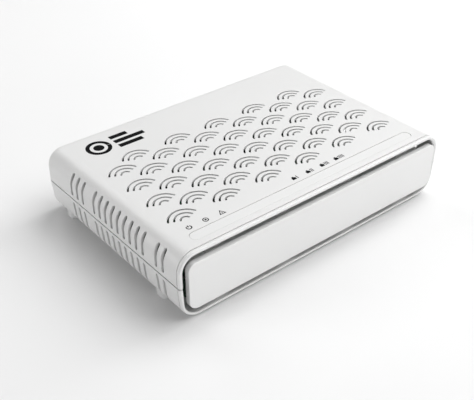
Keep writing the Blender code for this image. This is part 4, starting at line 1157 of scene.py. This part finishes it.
def make_fibre_port():
    low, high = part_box("fibre_port")
    x, _, z = middle("fibre_port")
    face = high[1]
    mesh = bmesh.new()
    add_box(mesh, low, high, 0.3 * MM, 2)
    port = new_object("fibre_port_fine", mesh)
    carve_openings(port, FIBRE_OPENINGS, x, z, face, FIBRE_BEVEL)
    bore = bmesh.new()
    radius, start = FIBRE_BORE
    add_turned(bore, (x, 0, z), ((radius, low[1] - WALL), (radius, face - start)), "Y", 32)
    carve(port, bore)
    piece(port, PORT_GREEN, ["fibre_port"])

    low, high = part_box("fibre_sleeve")
    sleeve = bmesh.new()
    add_turned(sleeve, (x, 0, z), (
        (2.2 * MM, low[1]),
        (2.2 * MM, high[1] - 0.3 * MM),
        (1.95 * MM, high[1]),
        (1.5 * MM, high[1]),
        (1.25 * MM, high[1] - 0.3 * MM),
        (1.25 * MM, low[1] + 3 * MM),
    ), "Y", 40)
    piece(new_object("fibre_sleeve_fine", sleeve), CERAMIC, ["fibre_sleeve"])


def make_dust_cap():
    low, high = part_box("dust_cap")
    x, _, z = middle("dust_cap")
    half_x, _, half_z = half_size("dust_cap")
    face = REAR_Y + OPENING_PLAY
    root = face + 0.5 * MM
    inner_edge, outer_edge = CAP_EDGES
    levels = [(inner_edge, face), (0.0, face + inner_edge)]
    levels += [(inset, face + CAP_PLATE - rise) for inset, rise in reversed(quarter(outer_edge, 4))]
    mesh = bmesh.new()
    rings = []
    for inset, y in levels:
        outline = rounded_rectangle(half_x - inset, half_z - inset, CAP_CORNER - inset, 6)
        rings.append(along_y(outline, y, (x, z)))
    add_loft(mesh, rings)
    cap = new_object("dust_cap_fine", mesh)
    spigot = bmesh.new()
    reach_x, reach_z = CAP_SPIGOT_HALF
    add_box(spigot, (x - reach_x, low[1], z - reach_z), (x + reach_x, root, z + reach_z), 0.35 * MM, 2)
    carve(cap, spigot, "UNION")
    grip = bmesh.new()
    rings = []
    steps = 8
    wide, high_half, waist = CAP_GRIP
    for k in range(steps + 1):
        share = k / steps
        half = high_half - waist * sin(pi * share)
        outline = rounded_rectangle(wide, half, 0.5 * half, 4)
        rings.append(along_y(outline, root + share * (high[1] - root), (x, z)))
    add_loft(grip, rings)
    carve(cap, grip, "UNION")
    piece(cap, RUBBER, ["dust_cap"], "dust_cap")


def make_power_inlet():
    low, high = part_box("power_inlet")
    x, face, z = middle_x("power_inlet"), high[1], low[2] + INLET_AXIS_Z
    mesh = bmesh.new()
    add_box(mesh, low, high, 0.3 * MM, 2)
    inlet = new_object("power_inlet_fine", mesh)
    bore = bmesh.new()
    add_turned(bore, (x, face, z), [(radius * MM, place * MM) for radius, place in INLET_BORE], "Y", 48)
    carve(inlet, bore)
    piece(inlet, BLACK, ["power_inlet"])
    low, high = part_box("power_inlet_pin")
    pin = bmesh.new()
    turns = [pi / 2 * k / 6 for k in range(6)]
    profile = [(PIN_RADIUS, low[1])]
    profile += [(PIN_RADIUS * cos(t), high[1] - PIN_DOME + PIN_DOME * sin(t)) for t in turns]
    add_turned(pin, (x, 0, z), profile, "Y", 32)
    piece(new_object("power_inlet_pin_fine", pin), STEEL, ["power_inlet_pin"])


def make_power_button():
    low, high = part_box("power_button")
    x, z = button_centre()
    half, foot = BUTTON_SIDE / 2, high[1] - BUTTON_LENGTH
    mesh = bmesh.new()
    rings = [along_y(rounded_rectangle(half, half, BUTTON_CORNER, 5), foot, (x, z))]
    for inset, rise in reversed(quarter(BUTTON_EDGE, 5)):
        outline = rounded_rectangle(half - inset, half - inset, BUTTON_CORNER - inset, 5)
        rings.append(along_y(outline, high[1] - rise, (x, z)))
    add_loft(mesh, rings)
    button = new_object("power_button_fine", mesh)
    dish = bmesh.new()
    place = Matrix.Translation((x, high[1] + BUTTON_DISH_RADIUS - BUTTON_DISH_DEPTH, z))
    bmesh.ops.create_uvsphere(dish, u_segments=48, v_segments=32, radius=BUTTON_DISH_RADIUS, matrix=place)
    carve(button, dish)
    collar = bmesh.new()
    reach, thickness = BUTTON_COLLAR
    back = REAR_Y - WALL - OPENING_PLAY
    add_box(collar, (x - reach, back - thickness, z - reach), (x + reach, back, z + reach), 0.2 * MM, 2)
    carve(button, collar, "UNION")
    stem = bmesh.new()
    reach = BUTTON_STEM_HALF
    add_box(stem, (x - reach, low[1], z - reach), (x + reach, foot + MM, z + reach), 0.2 * MM, 2)
    carve(button, stem, "UNION")
    piece(button, BUTTON, ["power_button"], "power_button")


def make_case_screw(number):
    node = f"case_screw_{number}"
    low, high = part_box(node)
    x, y, _ = middle(node)
    profile = []
    for k in range(7):
        turn = pi / 2 * k / 6
        profile.append((max(SCREW_HEAD_RADIUS * sin(turn), 0.3 * MM), low[2] + SCREW_DOME * (1 - cos(turn))))
    root, crest = SCREW_THREAD
    head_top = low[2] + SCREW_HEAD_HEIGHT
    profile += [(SCREW_HEAD_RADIUS, head_top), (crest, head_top)]
    start, end = head_top + 0.6 * MM, high[2] - 1.2 * MM
    step = (end - start) / SCREW_THREAD_TURNS
    for k in range(SCREW_THREAD_TURNS):
        z = start + k * step
        profile += [(root, z), (crest, z + 0.4 * step), (root, z + 0.8 * step)]
    profile.append((0.4 * MM, high[2]))
    mesh = bmesh.new()
    add_turned(mesh, (x, y, 0), profile, steps=28)
    screw = new_object(f"{node}_fine", mesh)
    half_x, half_y, depth = SCREW_CROSS
    for turn in (0, pi / 2):
        slot = bmesh.new()
        add_box(slot, (-half_x, -half_y, low[2] - MM), (half_x, half_y, low[2] + depth))
        place = Matrix.Translation((x, y, 0)) @ Matrix.Rotation(turn + 0.3 * number, 4, "Z")
        bmesh.ops.transform(slot, matrix=place, verts=slot.verts)
        carve(screw, slot)
    piece(screw, STEEL, [node])


def make_label():
    low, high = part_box("rating_label")
    x, y, _ = middle("rating_label")
    outline = rounded_rectangle(*half_size("rating_label")[:2], LABEL_CORNER, 8)
    mesh = bmesh.new()
    add_loft(mesh, [along_z(outline, z, (x, y)) for z in (low[2], high[2])])
    piece(new_object("rating_label_fine", mesh), LABEL, ["rating_label"])


def paint_nodes():
    """Materials of the CAD nodes that stay: the board, what stands on it, and small parts."""
    groups = (
        (BOARD, ["main_board"]),
        (CLEAR, ["light_guide"]),
        (LAMP, LAMPS),
        (CHIP, ["processor", "memory_chip", "flash_chip", "line_transformer_1", "line_transformer_2"]),
        (PAD, ["thermal_pad"]),
        (ALUMINIUM, ["heat_sink", "capacitor_1", "capacitor_2", "capacitor_3"]),
        (STEEL, ["optical_module", "optical_shield", "crystal"]),
        (STEEL, [f"board_screw_{number}" for number in range(1, 5)]),
        (FERRITE, ["inductor"]),
        (GREY, ["power_switch"]),
        (BLACK, ["reset_switch"]),
        (BUTTON, ["reset_plunger"]),
    )
    for paint, nodes in groups:
        for node in nodes:
            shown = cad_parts[node]
            shown.data.materials.clear()
            shown.data.materials.append(paint)


# ---- build

make_camera()
make_floor()
make_light()

TOP_MARK = maker_mark(*TOP_MARK_BOX)
LAMP_MARKS = lamp_marks()
PORT_MARKS = port_marks()
make_top_shell()
make_bottom_shell()
print_ink("maker_mark", TOP_MARK, on_top, INK)
print_ink("lamp_marks", LAMP_MARKS, on_top, INK)
print_ink("port_marks", PORT_MARKS, on_back, GREY_INK)
make_front_panel()
make_led_window()
for jack_number in range(1, 5):
    make_lan_jack(jack_number)
    make_lan_contacts(jack_number)
make_fibre_port()
make_dust_cap()
make_power_inlet()
make_power_button()
for screw_number in range(1, 5):
    make_case_screw(screw_number)
make_label()
paint_nodes()
